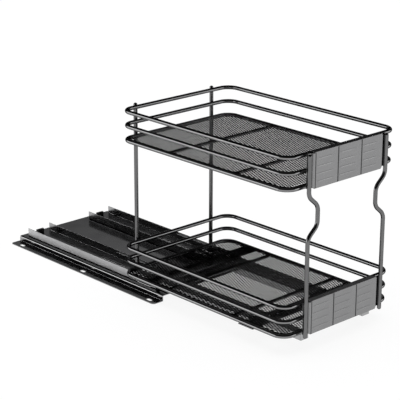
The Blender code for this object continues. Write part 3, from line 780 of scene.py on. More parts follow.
def finishes():
    """Every finish, made once. One that a slot in the record names has the slot's name."""
    if not finishes.made:
        tones = bpy.context.scene.organizer_finish
        finishes.made.update({
            "black_coat": coated_metal(
                "wire coat", tones.wire, roughness=0.08, variation=0.03,
                peel_scale=500.0, peel_height=0.000001, rim=0.0),
            "mesh_coat": coated_metal(
                "mesh coat", tones.mesh, roughness=0.25, variation=0.06,
                peel_scale=900.0, peel_height=0.000004, rim=0.1),
            "grey_coat": coated_metal(
                "post coat", tones.post, roughness=0.22, variation=0.04,
                peel_scale=500.0, peel_height=0.000003, rim=0.2),
            # Plate coat with painted shade in its grooves, crease and pressed lines
            "plate_coat": paint_crease_shade(coated_metal(
                "plate coat", tones.plate, roughness=0.28, variation=0.02,
                peel_scale=600.0, peel_height=0.000003, rim=0.0), shade=0.15),
            "pan_coat": coated_metal(
                "pan coat", tones.pan, roughness=0.13, variation=0.04,
                peel_scale=300.0, peel_height=0.000001, rim=0.0),
            "slide_coat": coated_metal(
                "slide coat", tones.slide, roughness=0.20, variation=0.03,
                peel_scale=300.0, peel_height=0.000001, rim=0.0),
            # Lighter satin copy of the slide coat for the channels' outer sides: the lighter tone
            # is painted light
            "slide_side": coated_metal(
                "slide side", tones.slide_side, roughness=0.42, variation=0.03,
                peel_scale=300.0, peel_height=0.000002, rim=0.6),
            "screw_zinc": coated_metal(
                "screw zinc", tones.zinc, roughness=0.25, variation=0.05,
                peel_scale=900.0, peel_height=0.000004),
            "glide_plastic": moulded(
                "glide plastic", tones.plastic, roughness=0.48,
                grain_scale=1800.0, grain_height=0.00002),
            "stop_rubber": moulded(
                "stop rubber", tones.rubber, roughness=0.72,
                grain_scale=1200.0, grain_height=0.00003),
        })
    return finishes.made


finishes.made = {}


# Base pan and slides

# How far a cutter reaches past a piece
OVERCUT = 0.001


def sheet_settings():
    """The bent sheet pieces' sizes."""
    return bpy.context.scene.organizer_sheet


class ORGANIZER_OT_base_pan(bpy.types.Operator):
    """Press the base pan with its flanges and fixing slots"""

    bl_idname = "organizer.base_pan"
    bl_label = "Base pan"

    def execute(self, context):
        sizes = sheet_settings()
        lowest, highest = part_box("base_pan")
        thickness = sizes.pan_sheet
        flange_z = lowest.z + thickness / 2
        plate_z = highest.z - thickness / 2
        edge_y = highest.y
        step_y = (sizes.plate_width - thickness) / 2
        corners = [(-edge_y, flange_z), (-step_y, flange_z), (-step_y, plate_z),
                   (step_y, plate_z), (step_y, flange_z), (edge_y, flange_z)]
        bends = [sizes.flange_bend, sizes.pan_bend, sizes.pan_bend, sizes.flange_bend]
        path = fillet_path(corners, bends, sizes.bend_steps)
        pan = make_object("base_pan_pressed",
                          bent_sheet("base_pan_pressed", path, thickness, lowest.x, highest.x))
        first = lowest.x + sizes.slot_rear
        last = highest.x - sizes.slot_front
        shape = slot_outline(sizes.slot_length, sizes.slot_width, sizes.bend_steps)
        cut = sizes.corner_cut
        corner = [(-cut, 0.0), (0.0, -cut), (cut, 0.0), (0.0, cut)]
        outlines = []
        for _, side in SIDES:
            slot_y = side * (edge_y - sizes.slot_edge)
            outlines += [moved(shape, x, slot_y) for x in (first, (first + last) / 2, last)]
            outlines += [moved(corner, x, side * edge_y) for x in (lowest.x, highest.x)]
        cut_away(pan, outlines, -thickness, 2 * thickness)
        round_edges(pan, sizes.edge)
        settle(pan, BASE, "pan_coat", "base_pan")
        return {"FINISHED"}


def upright_channel(node, lip):
    """An upright channel in the box of a node, with lips of a given width turned in, or none."""
    sizes = sheet_settings()
    lowest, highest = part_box(node)
    middle_y = centre(node).y
    thickness = sizes.slide_sheet
    wall_y = (highest.y - lowest.y - thickness) / 2
    floor_z = lowest.z + thickness / 2
    if lip > 0.0:
        lip_z = highest.z - thickness / 2
        half = [(wall_y, floor_z), (wall_y, lip_z), (wall_y + thickness / 2 - lip, lip_z)]
    else:
        half = [(wall_y, floor_z), (wall_y, highest.z)]
    corners = [(middle_y - y, z) for y, z in reversed(half)]
    corners += [(middle_y + y, z) for y, z in half]
    path = fillet_path(corners, sizes.slide_bend, sizes.bend_steps)
    name = node + "_bent"
    piece = make_object(name, bent_sheet(name, path, thickness, lowest.x, highest.x))
    round_edges(piece, sizes.edge)
    piece.data.materials.append(finishes()["slide_coat"])
    return piece


class ORGANIZER_OT_channels(bpy.types.Operator):
    """Bend the fixed channels and the middle slide members"""

    bl_idname = "organizer.channels"
    bl_label = "Channels and slides"

    def execute(self, context):
        for side, sign in SIDES:
            channel = f"{side}_fixed_channel"
            bent = upright_channel(channel, 0.0)
            self.paint_outer_side_lighter(bent, sign * extent(channel).y / 2 + centre(channel).y)
            settle(bent, BASE, "slide_coat", channel)
            slide = f"{side}_middle_slide"
            settle(upright_channel(slide, sheet_settings().slide_lip), MIDDLE, "slide_coat",
                   slide)
        return {"FINISHED"}

    def paint_outer_side_lighter(self, channel, outer_y):
        """Give the outer side of a channel's outboard wall a satin finish in a lighter tone, which
        is painted light.
        """
        channel.data.materials.append(finishes()["slide_side"])
        nearly_there = sheet_settings().slide_sheet / 4
        for face in channel.data.polygons:
            if abs(face.center.y - outer_y) < nearly_there:
                face.material_index = 1


class ORGANIZER_OT_rails(bpy.types.Operator):
    """Bend the inner rails under the basket"""

    bl_idname = "organizer.rails"
    bl_label = "Inner rails"

    def execute(self, context):
        sizes = sheet_settings()
        thickness = sizes.slide_sheet
        hole = slot_outline(sizes.rail_hole, sizes.hole_width, sizes.bend_steps)
        for side, _ in SIDES:
            node = f"{side}_inner_rail"
            lowest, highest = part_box(node)
            middle_y = centre(node).y
            wall_y = (highest.y - lowest.y - thickness) / 2
            web_z = highest.z - thickness / 2
            corners = [(middle_y - wall_y, lowest.z), (middle_y - wall_y, web_z),
                       (middle_y + wall_y, web_z), (middle_y + wall_y, lowest.z)]
            path = fillet_path(corners, sizes.slide_bend, sizes.bend_steps)
            rail = make_object(node + "_bent", bent_sheet(node + "_bent", path, thickness,
                                                          lowest.x, highest.x))
            self.close_end(f"{side}_rail_end", sizes)
            spots = [centre(f"{side}_{end}_screw") for end in ENDS]
            cut_away(rail, [moved(hole, spot.x, spot.y) for spot in spots],
                     web_z - thickness, web_z + thickness)
            round_edges(rail, sizes.edge)
            settle(rail, CARRIAGE, "slide_coat", node)
        return {"FINISHED"}

    def close_end(self, node, sizes):
        """A plate over a rail's front end, with its upper corners rounded like the rail."""
        lowest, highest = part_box(node)
        corners = [(lowest.y, lowest.z), (lowest.y, highest.z), (highest.y, highest.z),
                   (highest.y, lowest.z)]
        radius = sizes.slide_bend + sizes.slide_sheet / 2
        outline = fillet_path(corners, radius, sizes.bend_steps)
        build = bmesh.new()
        add_prism(build, [(lowest.x, y, z) for y, z in outline],
                  [(highest.x, y, z) for y, z in outline])
        plate = make_object(node + "_cut", finish_mesh(node + "_cut", build))
        round_edges(plate, sizes.edge)
        settle(plate, CARRIAGE, "slide_coat", node)


# A glide's rounding and grooves
GLIDE_EDGE = 0.0004
GREASE_GROOVES = 3
GREASE_WIDTH = 0.0020
GREASE_DEPTH = 0.0005


class ORGANIZER_OT_glides(bpy.types.Operator):
    """Mould the sliding plastic strips"""

    bl_idname = "organizer.glides"
    bl_label = "Glides"

    def execute(self, context):
        kinds = (("channel", BASE), ("middle_rear", MIDDLE), ("middle_front", MIDDLE),
                 ("rail", CARRIAGE))
        for side, _ in SIDES:
            for kind, body in kinds:
                for wall in WALLS:
                    self.mould(f"{side}_{kind}_glide_{wall}", body)
        return {"FINISHED"}

    def mould(self, node, body):
        """A strip with rounded ends and grease grooves across its top."""
        lowest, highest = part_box(node)
        glide = box_piece(node, "_moulded")
        half = GREASE_WIDTH / 2
        grooves = [box_outline(x - half, lowest.y - OVERCUT, x + half, highest.y + OVERCUT)
                   for x in even_places(lowest.x, highest.x, GREASE_GROOVES)]
        cut_away(glide, grooves, highest.z - GREASE_DEPTH, highest.z + OVERCUT)
        round_edges(glide, GLIDE_EDGE, segments=3)
        settle(glide, body, "glide_plastic", node)


# A stop's rounding and flutes
STOP_EDGE = 0.0003
FLUTES = 4
FLUTE_WIDTH = 0.0014
FLUTE_DEPTH = 0.0006


class ORGANIZER_OT_stops(bpy.types.Operator):
    """Mould the rubber stops in the channels' rear ends"""

    bl_idname = "organizer.stops"
    bl_label = "Rubber stops"

    def execute(self, context):
        half = FLUTE_WIDTH / 2
        for side, _ in SIDES:
            node = f"{side}_rear_stop"
            lowest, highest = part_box(node)
            stop = box_piece(node, "_moulded")
            flutes = [box_outline(highest.x - FLUTE_DEPTH, y - half, highest.x + OVERCUT, y + half)
                      for y in even_places(lowest.y, highest.y, FLUTES)]
            cut_away(stop, flutes, lowest.z - OVERCUT, highest.z + OVERCUT)
            round_edges(stop, STOP_EDGE, segments=3)
            settle(stop, BASE, "stop_rubber", node)
        return {"FINISHED"}


# Carriage

CROSS_PLATE_EDGE = 0.0003


class ORGANIZER_OT_cross_plates(bpy.types.Operator):
    """Cut the strips that join the basket to the rails"""

    bl_idname = "organizer.cross_plates"
    bl_label = "Cross plates"

    def execute(self, context):
        sizes = sheet_settings()
        hole = slot_outline(sizes.plate_hole, sizes.hole_width, sizes.bend_steps)
        for end in ENDS:
            node = f"{end}_cross_plate"
            plate = box_piece(node, "_cut")
            spots = [centre(f"{side}_{end}_screw") for side, _ in SIDES]
            cut_away(plate, [moved(hole, spot.x, spot.y) for spot in spots],
                     low(node).z - OVERCUT, high(node).z + OVERCUT)
            round_edges(plate, CROSS_PLATE_EDGE)
            settle(plate, CARRIAGE, "pan_coat", node)
        return {"FINISHED"}


def turned(name, profile, sides):
    """A body turned about Z from a profile of radius and height."""
    build = bmesh.new()
    rings = []
    for radius, height in profile:
        if radius == 0.0:
            rings.append([build.verts.new((0.0, 0.0, height))])
            continue
        angles = [2 * math.pi * side / sides for side in range(sides)]
        ring = [(radius * math.cos(angle), radius * math.sin(angle), height) for angle in angles]
        rings.append([build.verts.new(corner) for corner in ring])
    for upper, lower in zip(rings, rings[1:]):
        for side in range(sides):
            following = (side + 1) % sides
            corners = [upper[side % len(upper)], upper[following % len(upper)],
                       lower[following % len(lower)], lower[side % len(lower)]]
            build.faces.new(list(dict.fromkeys(corners)))
    return finish_mesh(name, build)


# A screw's head, shank, thread and cross recess
ROUND_STEPS = 6
SCREW_SIDES = 32
HEAD_HEIGHT = 0.0022
HEAD_CROWN = 0.0014
SHANK = 0.0020
THREADS = 9
THREAD_START = 0.0015
THREAD_END = 0.0020
THREAD_DEPTH = 0.0003
THREAD_FLANK = 0.0002
TIP_CUT = 0.0004
RECESS_REACH = 0.0019
RECESS_HALF = 0.00045
RECESS_DEPTH = 0.0012


class ORGANIZER_OT_screws(bpy.types.Operator):
    """Turn one pan head screw and repeat it at every hole"""

    bl_idname = "organizer.screws"
    bl_label = "Screws"

    def execute(self, context):
        nodes = [f"{side}_{end}_screw" for side, _ in SIDES for end in ENDS]
        size = extent(nodes[0])
        profile = self.profile(size.x / 2, size.z)
        screw = make_object("screw_source", turned("screw_source", profile, SCREW_SIDES))
        arm = box_outline(-RECESS_REACH, -RECESS_HALF, RECESS_REACH, RECESS_HALF)
        for outline in (arm, [(-y, x) for x, y in arm]):
            cut_away(screw, [outline], size.z - RECESS_DEPTH, size.z + OVERCUT)
        shade_round(screw.data, 30)
        spots = bpy.data.meshes.new("screw_spots")
        spots.from_pydata([(centre(node).x, centre(node).y, low(node).z) for node in nodes],
                          [], [])
        screws = run_tree("carriage_screws", scatter_tree("Screws"),
                          {"Source": screw, "Material": finishes()["screw_zinc"]}, spots)
        bpy.data.objects.remove(screw, do_unlink=True)
        settle(screws, CARRIAGE, "screw_zinc", *nodes)
        return {"FINISHED"}

    def profile(self, head, top):
        """A pan head and a threaded shank, as radii and heights from the top down."""
        seat = top - HEAD_HEIGHT
        points = [(0.0, top)]
        for step in range(1, ROUND_STEPS + 1):
            angle = math.pi / 2 * step / ROUND_STEPS
            points.append((head - HEAD_CROWN * (1 - math.sin(angle)),
                           top - HEAD_CROWN * (1 - math.cos(angle))))
        points += [(head, seat), (SHANK, seat)]
        for thread in range(THREADS):
            z = seat - THREAD_START - thread * (seat - THREAD_END) / THREADS
            points += [(SHANK, z), (SHANK - THREAD_DEPTH, z - THREAD_FLANK)]
        return points + [(SHANK - TIP_CUT, 0.0), (0.0, 0.0)]


# Wire baskets

class ORGANIZER_OT_rings(bpy.types.Operator):
    """Bend the closed wire rings and lay the cross wires"""

    bl_idname = "organizer.rings"
    bl_label = "Rings and cross wires"

    def execute(self, context):
        sizes = context.scene.organizer_wires
        coat = finishes()["black_coat"]
        tree = ring_tree()
        for tier in TIERS:
            for level in LEVELS:
                node = ring_name(tier, level)
                size = extent(node)
                ring = run_tree(node + "_wire", tree, {
                    "Length": size.x - size.z, "Width": size.y - size.z,
                    "Corner Radius": sizes.corner_radius, "Corner Steps": sizes.corner_steps,
                    "Wire Radius": size.z / 2 + sizes.coat, "Sides": sizes.ring_sides,
                    "Centre": centre(node), "Material": coat})
                settle(ring, CARRIAGE, "black_coat", node)
        tree = cross_wire_tree()
        for tier in TIERS:
            nodes = [f"{tier}_cross_wire_{end}" for end in ENDS]
            size = extent(nodes[0])
            wires = run_tree(f"{tier}_cross_wires", tree, {
                "Span": size.y, "Wire Radius": size.z / 2 + sizes.coat,
                "Sides": sizes.ring_sides,
                "Count": len(nodes), "Pitch": centre(nodes[1]).x - centre(nodes[0]).x,
                "First": centre(nodes[0]), "Material": coat})
            shade_round(wires.data)
            settle(wires, CARRIAGE, "black_coat", *nodes)
        return {"FINISHED"}


class ORGANIZER_OT_mesh_floors(bpy.types.Operator):
    """Stretch the expanded metal floors"""

    bl_idname = "organizer.mesh_floors"
    bl_label = "Mesh floors"

    def execute(self, context):
        sizes = context.scene.organizer_mesh
        wires = context.scene.organizer_wires
        tree = expanded_metal_tree()
        for tier in TIERS:
            node = f"{tier}_mesh_floor"
            size = extent(node)
            wire = extent(ring_name(tier, "bottom")).z
            columns = math.ceil((size.x - 2 * sizes.border) / sizes.cell_length)
            rows = math.ceil((size.y - 2 * sizes.border) / sizes.cell_width)
            floor = run_tree(node + "_expanded", tree, {
                "Length": size.x, "Width": size.y, "Cell Length": sizes.cell_length,
                "Cell Width": sizes.cell_width, "Strand": sizes.strand, "Sheet": sizes.sheet,
                "Bond": sizes.bond, "Border": sizes.border,
                "Border Sheet": size.z * sizes.border_share,
                "Corner Radius": wires.corner_radius - wire / 2,
                "Corner Steps": wires.corner_steps, "Columns": columns, "Rows": rows,
                "Centre": centre(node), "Material": finishes()["mesh_coat"]})
            settle(floor, CARRIAGE, "black_coat", node)
        return {"FINISHED"}


# Posts

# A dome's steps, and the part of a step that it stops short of its tip
DOME_STEPS = 8
TIP_STEP = 0.25


def domed_path(points, radius):
    """A path with the extra points, and the radii, of a dome at both ends."""
    points = [Vector(point) for point in points]
    angles = [math.pi / 2 * (DOME_STEPS - step) / (DOME_STEPS + TIP_STEP)
              for step in range(DOME_STEPS)]
    for _ in range(2):
        inward = (points[1] - points[0]).normalized()
        tip = points[0]
        dome = [tip + inward * (radius * (1 - math.sin(angle))) for angle in angles]
        points = dome + [tip + inward * radius] + points[1:]
        points.reverse()
    radii = [1.0] * len(points)
    for step, angle in enumerate(angles):
        radii[step] = math.cos(angle)
        radii[-1 - step] = math.cos(angle)
    return points, radii


def path_curve(name, points, radii):
    """An open poly curve with a radius at each point."""
    curve = bpy.data.curves.new(name, "CURVE")
    curve.dimensions = "3D"
    spline = curve.splines.new("POLY")
    spline.points.add(len(points) - 1)
    for target, point, radius in zip(spline.points, points, radii):
        target.co = (*point, 1.0)
        target.radius = radius
    return curve


class ORGANIZER_OT_posts(bpy.types.Operator):
    """Bend the posts between the tiers"""

    bl_idname = "organizer.posts"
    bl_label = "Posts"

    def execute(self, context):
        sizes = context.scene.organizer_wires
        tree = bar_tree()
        for side, sign in SIDES:
            for end in ENDS:
                node = f"{side}_{end}_post"
                lowest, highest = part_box(node)
                radius = (highest.x - lowest.x) / 2
                x = (lowest.x + highest.x) / 2
                y = sign * (max(abs(lowest.y), abs(highest.y)) - radius)
                path = [(x, y, lowest.z), (x, y, highest.z)]
                if end == "front":
                    path = fillet_path(self.waisted(sizes, x, y, sign, lowest.z, highest.z),
                                       sizes.waist_bend, sizes.corner_steps)
                points, radii = domed_path(path, radius)
                post = run_tree(node + "_bar", tree,
                                {"Bar Radius": radius, "Sides": sizes.post_sides,
                                 "Material": finishes()["grey_coat"]},
                                path_curve(node, points, radii))
                settle(post, CARRIAGE, "grey_coat", node)
        return {"FINISHED"}

    def waisted(self, sizes, x, y, sign, bottom, top):
        """The corners of a front post, drawn in under the upper plate."""
        bend_top = low("upper_front_plate").z - sizes.waist_top
        waist_top = bend_top - sizes.waist_slope
        waist_bottom = waist_top - sizes.waist_straight
        bend_bottom = waist_bottom - sizes.waist_slope
        inner = y - sign * sizes.waist_depth
        return [(x, y, bottom), (x, y, bend_bottom), (x, inner, waist_bottom),
                (x, inner, waist_top), (x, y, bend_top), (x, y, top)]


# Front plates

# The flat face starts this many bend radii in from its edge
FLAT_START = 1.25
# A plate's rounding, the steps in its bends, and the spacing of its rows of faces
PLATE_EDGE = 0.0002
PLATE_STEPS = 5
GROOVE_STEP = 0.0003
FIELD_STEP = 0.0040
LINE_STEP = 0.0004
PLAIN_STEP = 0.0030
# Rows whose places agree to this many digits are one row
DIGITS = 7


def smooth_step(value):
    """A soft change from 0 to 1."""
    value = min(max(value, 0.0), 1.0)
    return value * value * (3 - 2 * value)


def stations(edges, centres, half_width, fine, coarse):
    """Places between two edges: close together round the centres and wide elsewhere."""
    start, end = edges
    number = max(1, round((end - start) / coarse))
    places = {start, end}
    for step in range(number + 1):
        place = start + (end - start) * step / number
        if all(abs(place - middle) > half_width + coarse / 3 for middle in centres):
            places.add(place)
    steps = math.ceil(half_width / fine)
    for middle in centres:
        places.update(middle + half_width * step / steps for step in range(-steps, steps + 1))
    first, last = round(start, DIGITS), round(end, DIGITS)
    rounded = {round(place, DIGITS) for place in places}
    return sorted(place for place in rounded if first <= place <= last)


class ORGANIZER_OT_front_plates(bpy.types.Operator):
    """Press the front plates with their grooves and lines, and paint shade into them"""

    bl_idname = "organizer.front_plates"
    bl_label = "Front plates"

    def execute(self, context):
        for tier in TIERS:
            node = f"{tier}_front_plate"
            plate = make_object(node + "_pressed", self.press(context, node))
            sheet = plate.modifiers.new("sheet", "SOLIDIFY")
            sheet.thickness = context.scene.organizer_plate.sheet
            sheet.offset = -1.0
            sheet.use_even_offset = True
            round_edges(plate, PLATE_EDGE, angle=60)
            settle(plate, CARRIAGE, "plate_coat", node)
        return {"FINISHED"}

    def groove_places(self, sizes):
        """Where the two grooves lie across the plate."""
        return [sizes.groove_shift + side * sizes.groove_pitch / 2 for _, side in SIDES]

    def line_places(self, sizes, middle_z):
        """The heights of the pressed lines."""
        return [middle_z + (line - (sizes.lines - 1) / 2) * sizes.line_pitch
                for line in range(sizes.lines)]

    def relief(self, sizes, y, z, middle_z):
        """How far the face is pressed back at a place, and how much painted shade darkens it
        there, up to 1.
        """
        depth = 0.0
        shade = 0.0
        grooves = self.groove_places(sizes)
        edge_line = sizes.edge_line - sizes.face_width / 2
        upright_lines = [(place, sizes.groove_width) for place in grooves]
        upright_lines.append((edge_line, sizes.edge_line_width))
        for place, width in upright_lines:
            rise = smooth_step(2.0 - 4.0 * abs(y - place) / width)
            depth = max(depth, sizes.groove_depth * rise)
            shade = max(shade, rise)
        starts = [-sizes.face_width / 2] + grooves
        ends = grooves + [sizes.face_width / 2]
        for start, end in zip(starts, ends):
            first = max(start, edge_line) + sizes.groove_width * sizes.line_gap
            last = first + (end - start) * sizes.line_share
            fade = smooth_step((y - first) / sizes.near_fade)
            fade *= smooth_step((last - y) / sizes.far_fade)
            for place in self.line_places(sizes, middle_z):
                rise = fade * smooth_step(1.0 - abs(z - place) / sizes.line_width)
                depth = max(depth, rise * sizes.line_depth)
                shade = max(shade, rise * sizes.line_painted_shade)
        return depth, shade

    def press(self, context, node):
        """The plate's outer surface: face, flanges, side walls and lips."""
        sizes = context.scene.organizer_plate
        lowest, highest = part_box(node)
        bottom = lowest.z
        top = highest.z
        half_face = sizes.face_width / 2
        bend = sizes.bend
        middle_z = (bottom + top) / 2
        flat_y = half_face - FLAT_START * bend
        upright_places = [sizes.edge_line - half_face] + self.groove_places(sizes)
        face_y = stations((-flat_y, flat_y), upright_places, sizes.groove_width / 2,
                          GROOVE_STEP, FIELD_STEP)
        face_z = stations((bottom + sizes.relief, top - sizes.relief),
                          self.line_places(sizes, middle_z), sizes.line_width,
                          LINE_STEP, PLAIN_STEP)
        foot_y = half_face + sizes.wall_lean
        wall = fillet_path([(0.0, half_face - 2 * bend), (0.0, half_face),
                            (-sizes.lip_depth, foot_y), (-sizes.lip_depth, highest.y)],
                           bend, PLATE_STEPS)[1:]
        left = [(p.x, -p.y, True) for p in reversed(wall)]
        right = [(p.x, p.y, True) for p in wall]
        across = left + [(0.0, y, False) for y in face_y] + right
        fold = fillet_path([(0.0, sizes.relief * 2), (0.0, 0.0),
                            (lowest.x - highest.x, 0.0)], sizes.fold, PLATE_STEPS)[1:]
        lower_fold = [(p.x, bottom + p.y, True) for p in reversed(fold)]
        upper_fold = [(p.x, top - p.y, True) for p in fold]
        up = lower_fold + [(0.0, z, False) for z in face_z] + upper_fold
        build = bmesh.new()
        # Each vertex keeps how much painted shade darkens it in the grooves, crease and lines
        crease_shade_layer = build.verts.layers.float.new(CREASE_SHADE)
        made = {}
        for i, (dx, y, folded_y) in enumerate(across):
            for j, (dz, z, folded_z) in enumerate(up):
                if folded_y and folded_z:
                    continue
                depth = shade = 0.0
                if not (folded_y or folded_z):
                    depth, shade = self.relief(sizes, y, z, middle_z)
                made[i, j] = build.verts.new((highest.x + dx + dz - depth, y, z))
                made[i, j][crease_shade_layer] = shade
        for i in range(len(across) - 1):
            for j in range(len(up) - 1):
                corners = [made.get(key) for key in ((i, j), (i + 1, j), (i + 1, j + 1),
                                                     (i, j + 1))]
                if None not in corners:
                    build.faces.new(corners)
        return finish_mesh(node + "_pressed", build, closed=False)


# Welds

# Faces round a bead, and where the beads sit beside posts, wires, mesh and cross plates
BEAD_SIDES = 10
POST_BEAD = 0.0012
WIRE_BEAD = 0.0018
TACK_DROP = 0.0006
STRIP_INSET = 0.004
STRIP_LIFT = 0.0004


class ORGANIZER_OT_welds(bpy.types.Operator):
    """Set a bead at every weld of the carriage"""

    bl_idname = "organizer.welds"
    bl_label = "Weld beads"

    def execute(self, context):
        sizes = context.scene.organizer_wires
        spots = []
        for tier in TIERS:
            for level in LEVELS:
                ring = ring_name(tier, level)
                for side, _ in SIDES:
                    post = centre(f"{side}_rear_post")
                    joint_x = (high(f"{side}_rear_post").x + low(ring).x) / 2
                    for offset in (-POST_BEAD, POST_BEAD):
                        spots.append((joint_x, post.y + offset, centre(ring).z))
            spots += self.cross_wire_ends(tier)
            spots += self.border_tacks(tier, sizes)
        spots += self.cross_plate_welds()
        cloud = bpy.data.meshes.new("weld_spots")
        cloud.from_pydata(spots, [], [])
        profile = [(0.0, sizes.bead)]
        for step in range(1, ROUND_STEPS):
            angle = math.pi * step / ROUND_STEPS
            profile.append((sizes.bead * math.sin(angle), sizes.bead * math.cos(angle)))
        profile.append((0.0, -sizes.bead))
        bead = make_object("bead_source", turned("bead_source", profile, BEAD_SIDES))
        welds = run_tree("basket_welds", scatter_tree("Weld beads"),
                         {"Source": bead, "Material": finishes()["black_coat"]}, cloud)
        bpy.data.objects.remove(bead, do_unlink=True)
        settle(welds, CARRIAGE, "black_coat")
        return {"FINISHED"}

    def cross_wire_ends(self, tier):
        """Where the cross wires meet the bottom ring."""
        ring = ring_name(tier, "bottom")
        spots = []
        for end in ENDS:
            wire = centre(f"{tier}_cross_wire_{end}")
            for _, side in SIDES:
                y = side * (high(ring).y - extent(ring).z)
                for offset in (-WIRE_BEAD, WIRE_BEAD):
                    spots.append((wire.x + offset, y, wire.z))
        return spots

    def border_tacks(self, tier, sizes):
        """Tacks between the mesh border and the bottom ring."""
        ring = ring_name(tier, "bottom")
        floor = f"{tier}_mesh_floor"
        z = centre(floor).z - TACK_DROP
        inner_x = extent(floor).x / 2
        inner_y = extent(floor).y / 2
        middle_x = centre(ring).x
        spots = []
        for along in self.tack_places(sizes, inner_x):
            spots += [(middle_x + along, side * inner_y, z) for _, side in SIDES]
        for along in self.tack_places(sizes, inner_y):
            spots += [(middle_x + side * inner_x, along, z) for _, side in SIDES]
        return spots

    def tack_places(self, sizes, inner):
        """Even places along the straight stretch of one side of a mesh border."""
        straight = inner - sizes.corner_radius
        number = round(2 * straight / sizes.tack_pitch)
        return [2 * straight * step / number - straight for step in range(number + 1)]

    def cross_plate_welds(self):
        """Welds between the cross plates and the lowest ring."""
        ring = ring_name("lower", "bottom")
        spots = []
        for end in ENDS:
            node = f"{end}_cross_plate"
            for _, side in SIDES:
                y = side * (high(ring).y - extent(ring).z)
                for x in (low(node).x + STRIP_INSET, high(node).x - STRIP_INSET):
                    spots.append((x, y, high(node).z + STRIP_LIFT))
        return spots


# Stage

FLOOR_REACH = 60.0
FLOOR_DROP = 0.0002
LAMP_HEIGHT = 3.0
# Where the panels fade at their sides and tops, and where the horizon fades
SIDE_EDGE = (0.80, 0.90)
SIDE_TOP = (0.22, 0.31)
REAR_EDGE = (0.80, 0.92)
REAR_TOP = (0.40, 0.50)
HORIZON_EDGE = (0.02, 0.12)


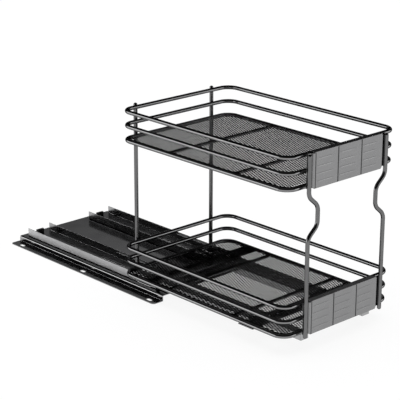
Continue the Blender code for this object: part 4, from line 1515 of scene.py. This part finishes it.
class ORGANIZER_OT_stage(bpy.types.Operator):
    """Set up the floor, the light and the camera"""

    bl_idname = "organizer.stage"
    bl_label = "Stage"

    def execute(self, context):
        stage = context.scene.organizer_stage
        context.scene.view_settings.view_transform = "Standard"
        self.make_floor(stage)
        self.make_sky(context, stage)
        self.make_light(stage)
        self.make_camera(context, stage)
        return {"FINISHED"}

    def make_floor(self, stage):
        """A wide pale floor just under the object."""
        floor_z = CAD_BOX[0].z - FLOOR_DROP
        mesh = bpy.data.meshes.new("floor")
        outline = box_outline(-FLOOR_REACH, -FLOOR_REACH, FLOOR_REACH, FLOOR_REACH)
        corners = [(x, y, floor_z) for x, y in outline]
        mesh.from_pydata(corners, [], [(0, 1, 2, 3)])
        floor = make_object("floor", mesh)
        material, tree, shader = new_material("floor", stage.floor, roughness=0.9,
                                              metallic=0.0)
        shader.inputs["Specular IOR Level"].default_value = 0.0
        self.whiten(tree, shader, stage.whiteness)
        mesh.materials.append(material)

    def whiten(self, tree, shader, whiteness):
        """Show the floor nearly white to the camera, mirrors and glass, and keep its shadow."""
        rays = tree.nodes.new("ShaderNodeLightPath").outputs
        seen = rays["Is Camera Ray"]
        for ray in ("Is Glossy Ray", "Is Transmission Ray"):
            seen = self.combine(tree, "MAXIMUM", seen, rays[ray])
        part = self.combine(tree, "MULTIPLY", seen, whiteness)
        white = add_node(tree, "ShaderNodeEmission")
        mixed = add_node(tree, "ShaderNodeMixShader",
                         {0: part, 1: shader.outputs[0], 2: white})
        tree.links.new(mixed, tree.nodes["Material Output"].inputs["Surface"])

    def make_sky(self, context, stage):
        """A studio with a pale horizon and soft panels to the left, the right and behind."""
        world = bpy.data.worlds.new("studio")
        context.scene.world = world
        world.use_nodes = True
        tree = world.node_tree
        place = add_node(tree, "ShaderNodeTexCoord", output="Generated")
        height = add_node(tree, "ShaderNodeSeparateXYZ", {0: place}, output="Z")
        across = Vector((math.cos(stage.azimuth), math.sin(stage.azimuth), 0.0))
        onward = Vector((-math.sin(stage.azimuth), math.cos(stage.azimuth), 0.0))
        panels = ((-across, SIDE_EDGE, SIDE_TOP, stage.left_panel),
                  (across, SIDE_EDGE, SIDE_TOP, stage.right_panel),
                  (onward, REAR_EDGE, REAR_TOP, stage.rear_panel))
        soft = {"interpolation_type": "SMOOTHSTEP"}
        total = map_range(tree, height, HORIZON_EDGE, (stage.horizon, stage.overhead), **soft)
        for towards, side_edge, top_edge, brightness in panels:
            facing = add_node(tree, "ShaderNodeVectorMath", {0: place, 1: towards},
                              output="Value", operation="DOT_PRODUCT")
            wide = map_range(tree, facing, side_edge, (0.0, brightness), **soft)
            below_top = map_range(tree, height, top_edge, (1.0, 0.0), **soft)
            panel = self.combine(tree, "MULTIPLY", wide, below_top)
            total = self.combine(tree, "MAXIMUM", total, panel)
        tree.links.new(total, tree.nodes["Background"].inputs["Color"])

    def combine(self, tree, operation, first, second):
        """One number from two."""
        return add_node(tree, "ShaderNodeMath", {0: first, 1: second}, operation=operation)

    def make_light(self, stage):
        """A wide, soft light from overhead, which mirrors don't show."""
        light = bpy.data.lights.new("overhead", "SUN")
        light.energy = stage.sun_strength
        light.angle = stage.sun_angle
        lamp = make_object("overhead", light)
        lamp.location.z = LAMP_HEIGHT
        lamp.visible_glossy = False

    def make_camera(self, context, stage):
        """The camera at the photograph's place and angle."""
        lens = bpy.data.cameras.new("camera")
        lens.lens = stage.lens
        lens.shift_x = stage.shift_x
        lens.shift_y = stage.shift_y
        camera = make_object("camera", lens)
        camera.location = stage.camera_place
        tilt = Euler((math.pi / 2 - stage.elevation, 0.0, stage.azimuth), "XYZ").to_matrix()
        twist = Euler((0.0, 0.0, stage.roll), "XYZ").to_matrix()
        camera.rotation_euler = (tilt @ twist).to_euler()
        context.scene.camera = camera


OPERATORS = (
    ORGANIZER_OT_base_pan,
    ORGANIZER_OT_channels,
    ORGANIZER_OT_rails,
    ORGANIZER_OT_glides,
    ORGANIZER_OT_stops,
    ORGANIZER_OT_cross_plates,
    ORGANIZER_OT_screws,
    ORGANIZER_OT_rings,
    ORGANIZER_OT_mesh_floors,
    ORGANIZER_OT_posts,
    ORGANIZER_OT_front_plates,
    ORGANIZER_OT_welds,
    ORGANIZER_OT_stage,
)


class ORGANIZER_PT_panel(bpy.types.Panel):
    """Settings and steps of the organizer"""

    bl_idname = "ORGANIZER_PT_panel"
    bl_label = "Pull-out basket"
    bl_space_type = "VIEW_3D"
    bl_region_type = "UI"
    bl_category = "Pull-out basket"

    def draw(self, context):
        layout = self.layout
        for label in SETTINGS:
            group = getattr(context.scene, label)
            rows = layout.box()
            for prop in group.__annotations__:
                rows.prop(group, prop)
        for operator in OPERATORS:
            layout.operator(operator.bl_idname)


def register():
    """Register the settings, the operators and the panel."""
    for label, group in SETTINGS.items():
        bpy.utils.register_class(group)
        setattr(bpy.types.Scene, label, bpy.props.PointerProperty(type=group))
    for operator in OPERATORS:
        bpy.utils.register_class(operator)
    bpy.utils.register_class(ORGANIZER_PT_panel)


def unregister():
    """Take back what register added."""
    bpy.utils.unregister_class(ORGANIZER_PT_panel)
    for operator in reversed(OPERATORS):
        bpy.utils.unregister_class(operator)
    for label, group in SETTINGS.items():
        delattr(bpy.types.Scene, label)
        bpy.utils.unregister_class(group)


def main():
    """Make every piece in order."""
    register()
    for operator in OPERATORS:
        group, name = operator.bl_idname.split(".")
        getattr(getattr(bpy.ops, group), name)()


if __name__ == "__main__":
    main()
